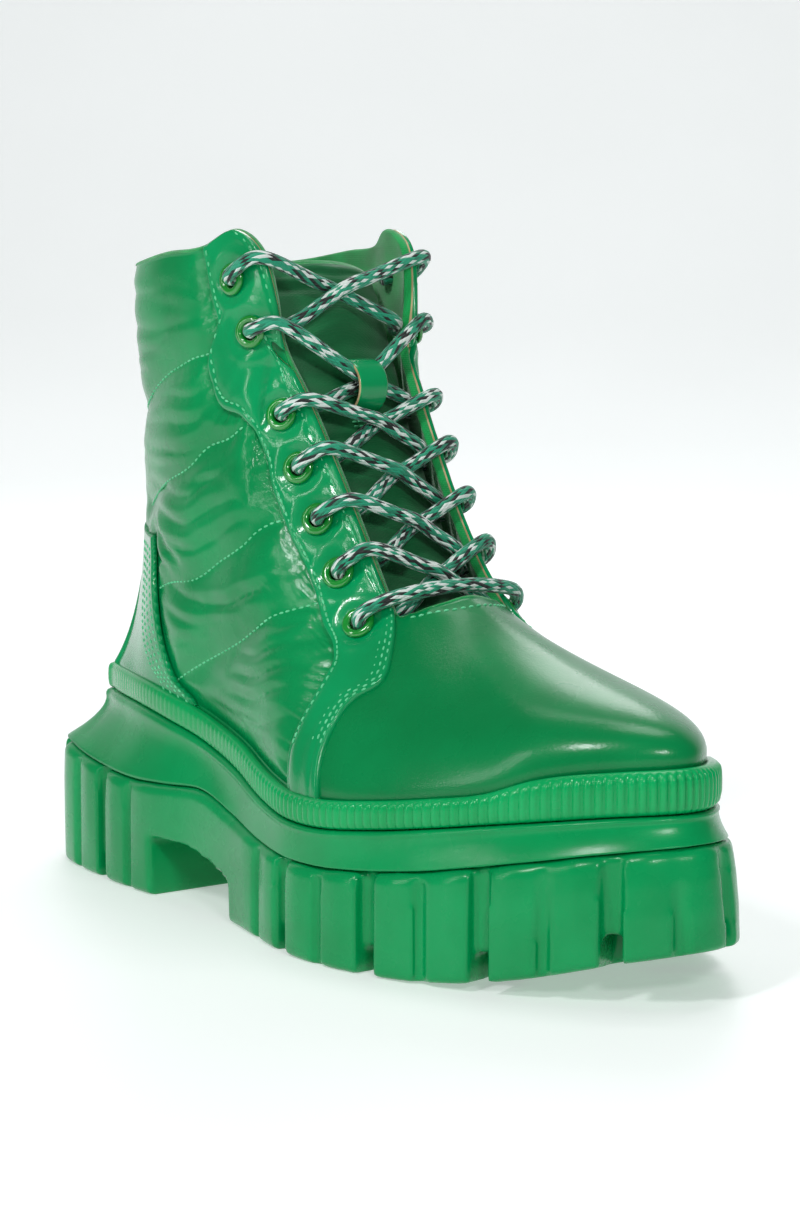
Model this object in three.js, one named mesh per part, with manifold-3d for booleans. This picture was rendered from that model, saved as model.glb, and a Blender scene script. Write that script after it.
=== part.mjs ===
// Lace-up puffer boot on a lugged platform sole: the wearer's right boot, empty and unbent.
// Millimetres. +X points to the toe, +Y to the inner side of the foot, +Z up, the floor is at zero.
// The origin is midway along and across the sole, on the floor.
import * as THREE from "three";
import { mergeVertices } from "three/addons/utils/BufferGeometryUtils.js";
import Module from "manifold-3d";

const wasm = await Module();
wasm.setup();

// Driving sizes of the whole boot
const LENGTH = 293; // sole, from heel to toe
const BALL_WIDTH = 114; // sole, across the ball
const BOOT_HEIGHT = 209.5; // floor to the peak of the eyestay
const SHAFT_WIDTH = 73; // shaft, across the ankle at the collar
const SHAFT_SHIFT = 1; // the shaft's middle lies this far to the inner side
const HEEL_SEAT = 58; // floor to the foot bed at the heel
const BALL_SEAT = 39; // floor to the foot bed at the ball
const TOE_SPRING = 13; // rise of the foot bed from ball to toe
const TREAD_LIFT = 15; // rise of the tread from ball to toe
const HEEL_RIDGE = 36; // floor to the top of the heel lugs
const BALL_RIDGE = 28.5; // floor to the top of the lugs at the ball
const HEEL_FLARE = 14.5; // overhang of the lugs behind the rand at the heel

// Walls, layers and clearances
const GAP = 0.3; // between neighbouring pieces
const UPPER_WALL = 2.6;
const OVERLAY_WALL = 1.5; // eyestays and counter
const RAND_WALL = 3;
const RAND_HEIGHT = 8.6;
const BUMPER_RISE = 4; // the rand is this much taller round the toe
const RIB_DEPTH = 0.9;
const RIB_PITCH = 5;
const RIB_HEEL = 0.45; // rib depth at the heel, as a share of that at the toe
const RAND_BEVEL = 1; // between its face and its top edge
const INSOLE_THICKNESS = 3;
const INSOLE_CLEARANCE = 1.2;
const MIDSOLE_FOOT = 1.2; // inset of its lower edge
const MIDSOLE_LEDGE = 0.4; // it stands this far out from under the rand

// Lugs and grooves of the outsole
const FORE_GROOVES = 18; // round the forepart, every second one deep
const HEEL_GROOVES = 11; // round the heel, every second one deep
const FORE_GROOVE_START = 24; // from the block's rear corner to its first groove
const HEEL_GROOVE_START = 14; // from the breast to the first groove
const DEEP_WIDTH = 6.2;
const DEEP_DEPTH = 4;
const SHALLOW_WIDTH = 4;
const SHALLOW_DEPTH = 2.2;
const NOTCH_HEIGHT = 8; // of the gap under a deep groove
const NOTCH_REACH = 24; // from the edge of the sole inwards
const GROOVE_HEAD = 2.2; // rubber left above a groove
const BREAST_AT = 0.277; // heel breast, as a share of the length
const BLOCK_AT = 0.437; // rear face of the forepart block, as a share of the length
const BREAST_ARCH = 20; // floor to the arch at the breast
const BLOCK_ARCH = 13; // floor to the arch at the forepart block
const ARCH_BULGE = 1; // of the arch's curve, above and below its height at the breast
const ARCH_PEAK = 0.45; // where the curve is pulled up, from breast to block
const TREAD_BEVEL = 1.6; // round the lower edge of the lugs
const LUG_FACE_INSET = 0.4; // of the lugs' face at its top
const CREST_INSET = 2.6; // of the lugs' crest
const CREST_HEIGHT = 2.4; // from the top of the face to the crest
const TOE_LEAN = 2.7; // how far lugs and midsole lean in at the tip of the toe
const CUTTER_REACH = 8; // how far a cutter stands out of what it cuts

// Eyelets and lace
const EYELET_OUTER = 10;
const EYELET_BORE = 5;
const EYELET_THICKNESS = 1.3;
const EYELET_HOLE = 6.4;
const EYELET_SIDES = 8;
const LACE_DIAMETER = 4.8;
const LACE_CLEAR = 1; // between a strand and the tongue or the facing's edge
const LACE_LIFT = 1.1; // of a strand over the eyelet's ring
const NOTCH_DEPTH = 9; // of the keyhole in the eyestay's edge
const NOTCH_WIDTH = 4.5;
const NOTCH_TILT = -0.25; // radians
const BAR_CROWN_X = 2; // the lowest bar bows this far forwards
const BAR_CROWN_Z = 4; // and upwards

// Tongue and its lace keeper
const TONGUE_THICKNESS = 6.5;
const TONGUE_HALF_WIDTH = 26;
const TONGUE_BOW = 8; // its edges lie this far behind its middle
const TONGUE_EDGE = 0.3; // thickness of its edges, as a share of its middle's
const KEEPER_WIDTH = 10.5;
const KEEPER_LENGTH = 17.4;
const KEEPER_CLEAR = 8.8; // room under the keeper for two strands
const KEEPER_WALL = 1.4;
const KEEPER_SEAT = 0.8; // its feet stand this far over the tongue
const KEEPER_Z = 0.768; // its middle, as a share of the boot's height
const KEEPER_ROW = 1; // the crossing that runs through the keeper starts at this eyelet, from 0 at the top

// Columns round a half of the boot in every faceted shell
const COLUMNS = 28;

// Sole outline: share of the length from the heel, half widths as shares of half the ball width
const OUTLINE = [
  { at: 0, outer: -0.035, inner: 0.035 },
  { at: 0.027, outer: 0.526, inner: 0.553 },
  { at: 0.082, outer: 0.66, inner: 0.71 },
  { at: 0.154, outer: 0.72, inner: 0.79 },
  { at: 0.225, outer: 0.76, inner: 0.815 },
  { at: 0.28, outer: 0.763, inner: 0.8 },
  { at: 0.355, outer: 0.742, inner: 0.755 },
  { at: 0.437, outer: 0.795, inner: 0.78 },
  { at: 0.519, outer: 0.905, inner: 0.875 },
  { at: 0.587, outer: 0.985, inner: 0.965 },
  { at: 0.652, outer: 0.992, inner: 1 },
  { at: 0.717, outer: 0.93, inner: 0.97 },
  { at: 0.782, outer: 0.83, inner: 0.895 },
  { at: 0.846, outer: 0.705, inner: 0.775 },
  { at: 0.911, outer: 0.52, inner: 0.59 },
  { at: 0.969, outer: 0.28, inner: 0.35 },
  { at: 1, outer: -0.035, inner: 0.035 },
];

// Side view of the sole: seat is the rise from the ball seat to the heel seat, spring that to the toe,
// ridge and crest the same for the top of the lugs, lift that of the tread, bumper that of the rand
const PROFILE = [
  { at: 0, seat: 0.98, spring: 0, ridge: 1.8, crest: 0, lift: 0.1, bumper: 0 },
  { at: 0.06, seat: 0.99, spring: 0, ridge: 1.62, crest: 0, lift: 0, bumper: 0 },
  { at: 0.14, seat: 1, spring: 0, ridge: 1.22, crest: 0, lift: 0, bumper: 0 },
  { at: 0.235, seat: 0.96, spring: 0, ridge: 1, crest: 0, lift: 0, bumper: 0 },
  { at: 0.303, seat: 0.82, spring: 0, ridge: 1.1, crest: 0, lift: 0, bumper: 0 },
  { at: 0.365, seat: 0.62, spring: 0, ridge: 1.22, crest: 0, lift: 0, bumper: 0 },
  { at: 0.43, seat: 0.41, spring: 0, ridge: 0.72, crest: 0, lift: 0, bumper: 0 },
  { at: 0.485, seat: 0.21, spring: 0, ridge: 0.34, crest: 0, lift: 0, bumper: 0 },
  { at: 0.543, seat: 0.06, spring: 0, ridge: 0.1, crest: 0, lift: 0, bumper: 0 },
  { at: 0.62, seat: 0, spring: 0, ridge: 0, crest: 0, lift: 0, bumper: 0 },
  { at: 0.717, seat: 0, spring: 0.19, ridge: 0, crest: 0.14, lift: 0, bumper: 0 },
  { at: 0.772, seat: 0, spring: 0.36, ridge: 0, crest: 0.3, lift: 0.05, bumper: 0 },
  { at: 0.833, seat: 0, spring: 0.57, ridge: 0, crest: 0.55, lift: 0.2, bumper: 0.1 },
  { at: 0.877, seat: 0, spring: 0.71, ridge: 0, crest: 0.74, lift: 0.38, bumper: 0.8 },
  { at: 0.952, seat: 0, spring: 0.92, ridge: 0, crest: 1.05, lift: 0.78, bumper: 1 },
  { at: 1, seat: 0, spring: 1, ridge: 0, crest: 1.2, lift: 1, bumper: 1 },
];

// How far the rand stands inside the sole outline, as shares of the heel flare
const SETBACK = [
  { at: 0, rand: 1.1 },
  { at: 0.05, rand: 1.12 },
  { at: 0.15, rand: 0.8 },
  { at: 0.27, rand: 0.45 },
  { at: 0.4, rand: 0.25 },
  { at: 0.55, rand: 0.16 },
  { at: 0.7, rand: 0.17 },
  { at: 0.85, rand: 0.32 },
  { at: 0.93, rand: 0.44 },
  { at: 1, rand: 0.52 },
];

// The upper, row by row from the heel's middle (turn 0) to the toe's (turn 1). Each row is a curve that
// climbs from the feather line to the edge of the opening. x, y and z place that edge: shares of the
// length, of half the shaft width and of the boot's height. foot and head hold the curve's two handles,
// forwards, outwards and upwards, as shares of the boot's height.
const MERIDIANS = [
  { turn: 0, x: 0.114, y: 0, z: 0.945, footX: 0, footOut: -0.075, footUp: 0.12, headX: 0.05, headOut: 0.01, headUp: -0.2 },
  { turn: 0.12, x: 0.137, y: 0.52, z: 0.946, footX: 0.01, footOut: -0.072, footUp: 0.125, headX: 0.03, headOut: 0, headUp: -0.2 },
  { turn: 0.23, x: 0.205, y: 0.89, z: 0.953, footX: 0.02, footOut: -0.05, footUp: 0.15, headX: 0.005, headOut: -0.005, headUp: -0.2 },
  { turn: 0.3, x: 0.277, y: 0.98, z: 0.967, footX: 0.03, footOut: 0, footUp: 0.2, headX: 0, headOut: -0.015, headUp: -0.22 },
  { turn: 0.35, x: 0.336, y: 0.94, z: 0.976, footX: 0.035, footOut: 0.01, footUp: 0.19, headX: -0.01, headOut: 0, headUp: -0.22 },
  { turn: 0.385, x: 0.378, y: 0.82, z: 1, footX: 0.035, footOut: 0.015, footUp: 0.18, headX: -0.03, headOut: 0.015, headUp: -0.2 },
  { turn: 0.405, x: 0.404, y: 0.79, z: 0.984, footX: 0.03, footOut: 0.015, footUp: 0.18, headX: -0.04, headOut: 0.02, headUp: -0.19 },
  { turn: 0.425, x: 0.421, y: 0.75, z: 0.952, footX: 0.03, footOut: 0.015, footUp: 0.17, headX: -0.045, headOut: 0.025, headUp: -0.17 },
  { turn: 0.445, x: 0.43, y: 0.7, z: 0.897, footX: 0.02, footOut: 0.01, footUp: 0.16, headX: -0.045, headOut: 0.03, headUp: -0.15 },
  { turn: 0.47, x: 0.434, y: 0.635, z: 0.826, footX: 0.01, footOut: 0.005, footUp: 0.14, headX: -0.045, headOut: 0.04, headUp: -0.13 },
  { turn: 0.495, x: 0.462, y: 0.58, z: 0.762, footX: 0, footOut: 0, footUp: 0.13, headX: -0.045, headOut: 0.045, headUp: -0.12 },
  { turn: 0.52, x: 0.497, y: 0.545, z: 0.685, footX: -0.01, footOut: 0, footUp: 0.12, headX: -0.04, headOut: 0.04, headUp: -0.11 },
  { turn: 0.555, x: 0.544, y: 0.52, z: 0.582, footX: -0.01, footOut: 0, footUp: 0.1, headX: -0.03, headOut: 0.03, headUp: -0.09 },
  { turn: 0.585, x: 0.58, y: 0.53, z: 0.511, footX: -0.01, footOut: 0, footUp: 0.09, headX: -0.01, headOut: 0.025, headUp: -0.065 },
  { turn: 0.615, x: 0.608, y: 0.55, z: 0.468, footX: -0.01, footOut: 0, footUp: 0.085, headX: 0.01, headOut: 0.028, headUp: -0.05 },
  { turn: 0.65, x: 0.618, y: 0.468, z: 0.468, footX: -0.01, footOut: 0, footUp: 0.085, headX: 0.05, headOut: 0.03, headUp: -0.05 },
  { turn: 0.7, x: 0.627, y: 0.364, z: 0.476, footX: -0.01, footOut: 0.008, footUp: 0.08, headX: 0.09, headOut: 0.028, headUp: -0.07 },
  { turn: 0.8, x: 0.635, y: 0.208, z: 0.484, footX: 0, footOut: 0.012, footUp: 0.083, headX: 0.168, headOut: 0.018, headUp: -0.098 },
  { turn: 0.9, x: 0.638, y: 0.1, z: 0.489, footX: 0, footOut: 0.018, footUp: 0.083, headX: 0.208, headOut: 0.01, headUp: -0.118 },
  { turn: 1, x: 0.64, y: 0, z: 0.491, footX: 0, footOut: 0.02, footUp: 0.083, headX: 0.222, headOut: 0, headUp: -0.124 },
];

// Eyestay in the side view, from the collar to the feather line: rear and front edge,
// x as a share of the length and z of the boot's height
const EYESTAY = [
  { rearX: 0.336, rearZ: 1.05, frontX: 0.5, frontZ: 1.05 },
  { rearX: 0.34, rearZ: 0.975, frontX: 0.5, frontZ: 0.975 },
  { rearX: 0.352, rearZ: 0.887, frontX: 0.5, frontZ: 0.9 },
  { rearX: 0.357, rearZ: 0.85, frontX: 0.5, frontZ: 0.86 },
  { rearX: 0.347, rearZ: 0.816, frontX: 0.51, frontZ: 0.83 },
  { rearX: 0.355, rearZ: 0.768, frontX: 0.52, frontZ: 0.79 },
  { rearX: 0.371, rearZ: 0.741, frontX: 0.53, frontZ: 0.76 },
  { rearX: 0.405, rearZ: 0.728, frontX: 0.54, frontZ: 0.735 },
  { rearX: 0.423, rearZ: 0.691, frontX: 0.56, frontZ: 0.69 },
  { rearX: 0.449, rearZ: 0.624, frontX: 0.59, frontZ: 0.625 },
  { rearX: 0.477, rearZ: 0.568, frontX: 0.61, frontZ: 0.56 },
  { rearX: 0.52, rearZ: 0.497, frontX: 0.618, frontZ: 0.5 },
  { rearX: 0.546, rearZ: 0.448, frontX: 0.615, frontZ: 0.461 },
  { rearX: 0.57, rearZ: 0.418, frontX: 0.634, frontZ: 0.419 },
  { rearX: 0.579, rearZ: 0.397, frontX: 0.649, frontZ: 0.385 },
  { rearX: 0.579, rearZ: 0.362, frontX: 0.631, frontZ: 0.357 },
  { rearX: 0.573, rearZ: 0.312, frontX: 0.624, frontZ: 0.322 },
  { rearX: 0.57, rearZ: 0.24, frontX: 0.628, frontZ: 0.24 },
];

// Eyelet centres in the side view, from the top down
const EYELETS = [
  { x: 0.38, z: 0.928 },
  { x: 0.408, z: 0.853 },
  { x: 0.44, z: 0.734 },
  { x: 0.469, z: 0.659 },
  { x: 0.501, z: 0.588 },
  { x: 0.538, z: 0.515 },
  { x: 0.582, z: 0.449 },
];

// The keyhole in the facing's edge between the second and third eyelet
const KEYHOLE = { x: 0.458, z: 0.83 };

// Counter in the side view, from its front toe up and round to the heel's middle:
// x as a share of the length, z of the boot's height
const COUNTER = [
  { x: 0.32, z: 0.2 },
  { x: 0.32, z: 0.28 },
  { x: 0.283, z: 0.33 },
  { x: 0.25, z: 0.385 },
  { x: 0.228, z: 0.46 },
  { x: 0.22, z: 0.527 },
  { x: 0.17, z: 0.552 },
  { x: 0.05, z: 0.573 },
  { x: -0.05, z: 0.573 },
  { x: -0.05, z: 0.2 },
];

// Middle line of the tongue's outer face: shares of the length and of the boot's height,
// half width, thickness and bow as shares of the tongue's own
const TONGUE = [
  { x: 0.7, z: 0.41, width: 0.72, body: 0.45, bow: 0.75 },
  { x: 0.636, z: 0.438, width: 0.76, body: 0.5, bow: 0.85 },
  { x: 0.586, z: 0.474, width: 0.76, body: 0.7, bow: 0.9 },
  { x: 0.536, z: 0.56, width: 0.82, body: 1, bow: 0.9 },
  { x: 0.495, z: 0.65, width: 0.86, body: 1, bow: 0.95 },
  { x: 0.457, z: 0.735, width: 0.92, body: 1, bow: 1 },
  { x: 0.425, z: 0.825, width: 1, body: 1, bow: 1.1 },
  { x: 0.4, z: 0.9, width: 1.05, body: 0.95, bow: 1.2 },
  { x: 0.38, z: 0.958, width: 1, body: 0.6, bow: 1.25 },
];

// Colours, roughness and metalness
const FINISH = {
  outsole: [0x06914f, 0.42],
  midsole: [0x069a55, 0.38],
  rand: [0x0a9e5a, 0.36],
  insole: [0x0b6e45, 0.9],
  upper: [0x009a5c, 0.34],
  overlay: [0x06a070, 0.26],
  tongue: [0x047a44, 0.5],
  eyelet: [0x0a8a34, 0.22],
  lace: [0x2f8f78, 0.8],
};

// Cubic pieces through one column of a table, each slope taken from the three rows nearest to it.
function column(rows, key, axis, place) {
  const last = rows.length - 1;
  let i = 0;
  while (i < last - 1 && place > rows[i + 1][axis]) i++;
  const secant = (k) => (rows[k + 1][key] - rows[k][key]) / (rows[k + 1][axis] - rows[k][axis]);
  const slope = (k) => {
    if (k === 0) return secant(0);
    if (k === last) return secant(last - 1);
    const before = rows[k][axis] - rows[k - 1][axis];
    const after = rows[k + 1][axis] - rows[k][axis];
    return (secant(k - 1) * after + secant(k) * before) / (before + after);
  };
  const span = rows[i + 1][axis] - rows[i][axis];
  const s = (place - rows[i][axis]) / span;
  const s2 = s * s;
  const s3 = s2 * s;
  return (
    (2 * s3 - 3 * s2 + 1) * rows[i][key] +
    (s3 - 2 * s2 + s) * span * slope(i) +
    (3 * s2 - 2 * s3) * rows[i + 1][key] +
    (s3 - s2) * span * slope(i + 1)
  );
}

const mix = (a, b, s) => a + (b - a) * s;
const turnOf = (share) => Math.acos(1 - 2 * share) / Math.PI;
const shareOf = (turn) => (1 - Math.cos(Math.PI * turn)) / 2;

// A lap runs once round the boot: 0 at the heel, up to 1 at the toe by the outer side, on to 2 by the inner.
const turnAt = (lap) => {
  const wrapped = ((lap % 2) + 2) % 2;
  return wrapped <= 1 ? wrapped : 2 - wrapped;
};
const sideAt = (lap) => (((lap % 2) + 2) % 2 <= 1 ? -1 : 1);

const outlineRows = OUTLINE.map((row) => ({ ...row, turn: turnOf(row.at) }));

function soleEdge(lap) {
  const turn = turnAt(lap);
  const side = sideAt(lap);
  const half = column(outlineRows, side < 0 ? "outer" : "inner", "turn", turn) * (BALL_WIDTH / 2);
  return new THREE.Vector2(LENGTH * (shareOf(turn) - 0.5), side * half);
}

// Outward normal of the outline, taken over a span wide enough to turn evenly round the heel's corners.
function soleNormal(lap) {
  const step = 0.075;
  const along = soleEdge(lap + step).sub(soleEdge(lap - step)).normalize();
  return new THREE.Vector2(along.y, -along.x);
}

// The sole outline moved inwards.
function rim(lap, inset) {
  return soleEdge(lap).addScaledVector(soleNormal(lap), -inset);
}

const profile = (key, lap) => column(PROFILE, key, "at", shareOf(turnAt(lap)));
const seatZ = (lap) =>
  BALL_SEAT + (HEEL_SEAT - BALL_SEAT) * profile("seat", lap) + TOE_SPRING * profile("spring", lap);
const ridgeZ = (lap) =>
  BALL_RIDGE + (HEEL_RIDGE - BALL_RIDGE) * profile("ridge", lap) + TOE_SPRING * profile("crest", lap);
const treadZ = (lap) => TREAD_LIFT * Math.max(0, profile("lift", lap));
const randTop = (lap) => seatZ(lap) + RAND_HEIGHT + BUMPER_RISE * profile("bumper", lap);
const randInset = (lap) => HEEL_FLARE * column(SETBACK, "rand", "at", shareOf(turnAt(lap)));
const featherInset = (lap) => randInset(lap) + RAND_WALL + GAP;

// Laps of equal steps along the sole edge, from one lap to another.
function pacedLaps(from, to, count) {
  const fine = 1200;
  const lengths = [0];
  let last = soleEdge(from);
  for (let i = 1; i <= fine; i++) {
    const next = soleEdge(mix(from, to, i / fine));
    lengths.push(lengths[i - 1] + next.distanceTo(last));
    last = next;
  }
  const laps = [];
  let i = 0;
  for (let k = 0; k <= count; k++) {
    const goal = (lengths[fine] * k) / count;
    while (i < fine - 1 && lengths[i + 1] < goal) i++;
    laps.push(mix(from, to, (i + (goal - lengths[i]) / (lengths[i + 1] - lengths[i])) / fine));
  }
  return { laps, length: lengths[fine] };
}

// A mesh gathered ring by ring. Rings run the way that laps do.
class Skin {
  constructor() {
    this.points = [];
    this.faces = [];
  }
  ring(points) {
    const start = this.points.length;
    this.points.push(...points);
    return points.map((_, i) => start + i);
  }
  face(a, b, c) {
    if (a !== b && b !== c && c !== a) this.faces.push(a, b, c);
  }
  quad(a, b, c, d) {
    this.face(a, b, c);
    this.face(a, c, d);
  }
  // Closed wall from one ring to the next, facing out where the second lies above the first. Walls that
  // run down an inner face are split along the same diagonals as the outer face above them.
  wall(from, to, downwards = false) {
    from.forEach((_, i) => {
      const j = (i + 1) % from.length;
      if (downwards) this.quad(from[j], to[j], to[i], from[i]);
      else this.quad(from[i], from[j], to[j], to[i]);
    });
  }
  // Flat band between a fine ring and a coarse one. owners[i] is the coarse point that fine point i starts from.
  band(fine, coarse, owners, upwards) {
    fine.forEach((_, i) => {
      const j = (i + 1) % fine.length;
      const c = coarse[owners[i]];
      const d = coarse[owners[j]];
      if (upwards) this.quad(fine[i], fine[j], d, c);
      else this.quad(c, d, fine[j], fine[i]);
    });
  }
  // Lid over a ring that starts at the heel and has an even number of points.
  lid(ring, upwards) {
    const count = ring.length;
    for (let i = 0; i < count / 2; i++) {
      const a = ring[i];
      const b = ring[i + 1];
      const c = ring[count - i - 1];
      const d = ring[(count - i) % count];
      if (upwards) this.quad(a, b, c, d);
      else this.quad(d, c, b, a);
    }
  }
  // Lid over any small ring, from its first point.
  cap(ring, upwards) {
    for (let i = 1; i < ring.length - 1; i++) {
      if (upwards) this.face(ring[0], ring[i], ring[i + 1]);
      else this.face(ring[0], ring[i + 1], ring[i]);
    }
  }
  geometry() {
    const made = new THREE.BufferGeometry();
    made.setAttribute(
      "position",
      new THREE.Float32BufferAttribute(this.points.flatMap((p) => [p.x, p.y, p.z]), 3),
    );
    made.setIndex(this.faces);
    return made;
  }
}

function solid(geometry) {
  const bare = geometry.clone();
  bare.deleteAttribute("normal");
  bare.deleteAttribute("uv");
  const merged = mergeVertices(bare, 1e-4);
  return new wasm.Manifold(
    new wasm.Mesh({
      numProp: 3,
      vertProperties: new Float32Array(merged.attributes.position.array),
      triVerts: new Uint32Array(merged.index.array),
    }),
  );
}

function geometryOf(manifold) {
  const mesh = manifold.getMesh();
  const made = new THREE.BufferGeometry();
  made.setAttribute("position", new THREE.BufferAttribute(mesh.vertProperties, 3));
  made.setIndex(new THREE.BufferAttribute(mesh.triVerts, 1));
  return made;
}

const joined = (solids) => solids.reduce((all, one) => all.add(one));

function evenLaps(columns) {
  return Array.from({ length: columns * 2 }, (_, i) => i / columns);
}

function ringAt(laps, inset, height) {
  return laps.map((lap) => {
    const p = rim(lap, inset(lap));
    return new THREE.Vector3(p.x, p.y, height(lap));
  });
}

// A solid stacked from rings that follow the sole outline, with flat lids.
function stack(laps, levels) {
  const skin = new Skin();
  const rings = levels.map(({ inset, height }) => skin.ring(ringAt(laps, inset, height)));
  for (let k = 1; k < rings.length; k++) skin.wall(rings[k - 1], rings[k]);
  skin.lid(rings[0], false);
  skin.lid(rings[rings.length - 1], true);
  return skin.geometry();
}

// A box that stands on the sole edge at a lap, reaching outwards and inwards.
function edgeBox(lap, width, inwards, bottom, top) {
  const depth = inwards + CUTTER_REACH;
  const box = new THREE.BoxGeometry(depth, width, top - bottom);
  const normal = soleNormal(lap);
  const centre = rim(lap, (inwards - CUTTER_REACH) / 2);
  box.rotateZ(Math.atan2(normal.y, normal.x));
  box.translate(centre.x, centre.y, (top + bottom) / 2);
  return solid(box);
}

// Laps of the grooves round the forepart or the heel, with every second one marked deep.
function grooves(from, to, count, start) {
  const paces = 400;
  const path = pacedLaps(from, to, paces);
  return Array.from({ length: count }, (_, i) => {
    const along = mix(start, path.length - start, i / (count - 1));
    const k = (along / path.length) * paces;
    const low = Math.floor(k);
    return { lap: mix(path.laps[low], path.laps[low + 1], k - low), deep: i % 2 === 1 };
  });
}

const blockTurn = turnOf(BLOCK_AT);
const breastTurn = turnOf(BREAST_AT);

// The arch: a hollow right across the sole between the heel breast and the forepart block.
function archHollow() {
  const breast = LENGTH * (BREAST_AT - 0.5);
  const block = LENGTH * (BLOCK_AT - 0.5);
  const middle = mix(breast, block, ARCH_PEAK);
  const shape = new THREE.Shape();
  shape.moveTo(breast, -CUTTER_REACH);
  shape.lineTo(breast, BREAST_ARCH - ARCH_BULGE);
  shape.quadraticCurveTo(middle, BREAST_ARCH + ARCH_BULGE, block, BLOCK_ARCH);
  shape.lineTo(block, -CUTTER_REACH);
  const cut = new THREE.ExtrudeGeometry(shape, {
    depth: BALL_WIDTH + 2 * CUTTER_REACH,
    bevelEnabled: false,
    curveSegments: 6,
  });
  cut.rotateX(Math.PI / 2);
  cut.translate(0, BALL_WIDTH / 2 + CUTTER_REACH, 0);
  return solid(cut);
}

function makeOutsole() {
  const lean = (lap) => TOE_LEAN * profile("lift", lap);
  const body = solid(
    stack(evenLaps(COLUMNS), [
      { inset: () => TREAD_BEVEL, height: treadZ },
      { inset: () => 0, height: (lap) => treadZ(lap) + TREAD_BEVEL },
      { inset: (lap) => LUG_FACE_INSET + lean(lap), height: (lap) => ridgeZ(lap) - GAP - CREST_HEIGHT },
      { inset: (lap) => CREST_INSET + lean(lap), height: (lap) => ridgeZ(lap) - GAP },
    ]),
  );
  const cuts = [archHollow()];
  const rounds = [
    ...grooves(blockTurn, 2 - blockTurn, FORE_GROOVES, FORE_GROOVE_START),
    ...grooves(-breastTurn, breastTurn, HEEL_GROOVES, HEEL_GROOVE_START),
  ];
  for (const { lap, deep } of rounds) {
    const width = deep ? DEEP_WIDTH : SHALLOW_WIDTH;
    const depth = deep ? DEEP_DEPTH : SHALLOW_DEPTH;
    const bottom = treadZ(lap) - CUTTER_REACH;
    cuts.push(edgeBox(lap, width, depth, bottom, ridgeZ(lap) - GROOVE_HEAD));
    if (deep) cuts.push(edgeBox(lap, width, NOTCH_REACH, bottom, treadZ(lap) + NOTCH_HEIGHT));
  }
  return geometryOf(body.subtract(joined(cuts)));
}

function makeMidsole() {
  const foot = (lap) => MIDSOLE_FOOT + TOE_LEAN * profile("lift", lap);
  const head = (lap) => randInset(lap) - MIDSOLE_LEDGE;
  const level = (share, pull) => ({
    inset: (lap) => mix(foot(lap), head(lap), pull),
    height: (lap) => mix(ridgeZ(lap), seatZ(lap), share),
  });
  return stack(evenLaps(COLUMNS), [level(0, 0), level(0.3, 0.5), level(0.62, 0.86), level(1, 1)]);
}

function makeInsole() {
  const inset = (lap) => featherInset(lap) + UPPER_WALL + INSOLE_CLEARANCE;
  return stack(evenLaps(COLUMNS), [
    { inset, height: (lap) => seatZ(lap) + GAP },
    { inset, height: (lap) => seatZ(lap) + GAP + INSOLE_THICKNESS },
  ]);
}

// The ribbed band round the feather line, taller round the toe. Its inner face follows the upper's columns.
function makeRand() {
  const coarse = evenLaps(COLUMNS);
  const laps = [];
  const owners = [];
  coarse.forEach((lap, k) => {
    const next = lap + 1 / COLUMNS;
    const ribs = Math.max(1, Math.round(soleEdge(next).distanceTo(soleEdge(lap)) / RIB_PITCH));
    for (let i = 0; i < ribs * 2; i++) {
      laps.push(mix(lap, next, i / (ribs * 2)));
      owners.push(k);
    }
  });
  const ribs = (lap, i) => {
    const share = shareOf(turnAt(lap));
    return i % 2 === 0 ? 0 : RIB_DEPTH * mix(RIB_HEEL, 1, THREE.MathUtils.smoothstep(share, 0.2, 0.6));
  };
  const outer = (height) =>
    laps.map((lap, i) => {
      const p = rim(lap, randInset(lap) + ribs(lap, i));
      return new THREE.Vector3(p.x, p.y, height(lap));
    });
  const inner = (height) => ringAt(coarse, (lap) => featherInset(lap) - GAP, height);
  const skin = new Skin();
  const outLow = skin.ring(outer((lap) => seatZ(lap) + GAP));
  const outHigh = skin.ring(outer((lap) => randTop(lap) - RAND_BEVEL));
  const inHigh = skin.ring(inner(randTop));
  const inLow = skin.ring(inner((lap) => seatZ(lap) + GAP));
  skin.wall(outLow, outHigh);
  skin.band(outHigh, inHigh, owners, true);
  skin.wall(inHigh, inLow, true);
  skin.band(outLow, inLow, owners, false);
  return skin.geometry();
}

// One column of the meridian table, carried on across heel and toe.
const meridianRows = [
  ...MERIDIANS,
  ...MERIDIANS.slice(1, -1).reverse().map((row) => ({ ...row, turn: 2 - row.turn, y: -row.y })),
];
const meridianLoop = [
  ...meridianRows.slice(-3).map((row) => ({ ...row, turn: row.turn - 2 })),
  ...meridianRows,
  ...meridianRows.slice(0, 3).map((row) => ({ ...row, turn: row.turn + 2 })),
];
const meridian = (key, lap) => column(meridianLoop, key, "turn", ((lap % 2) + 2) % 2);

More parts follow.
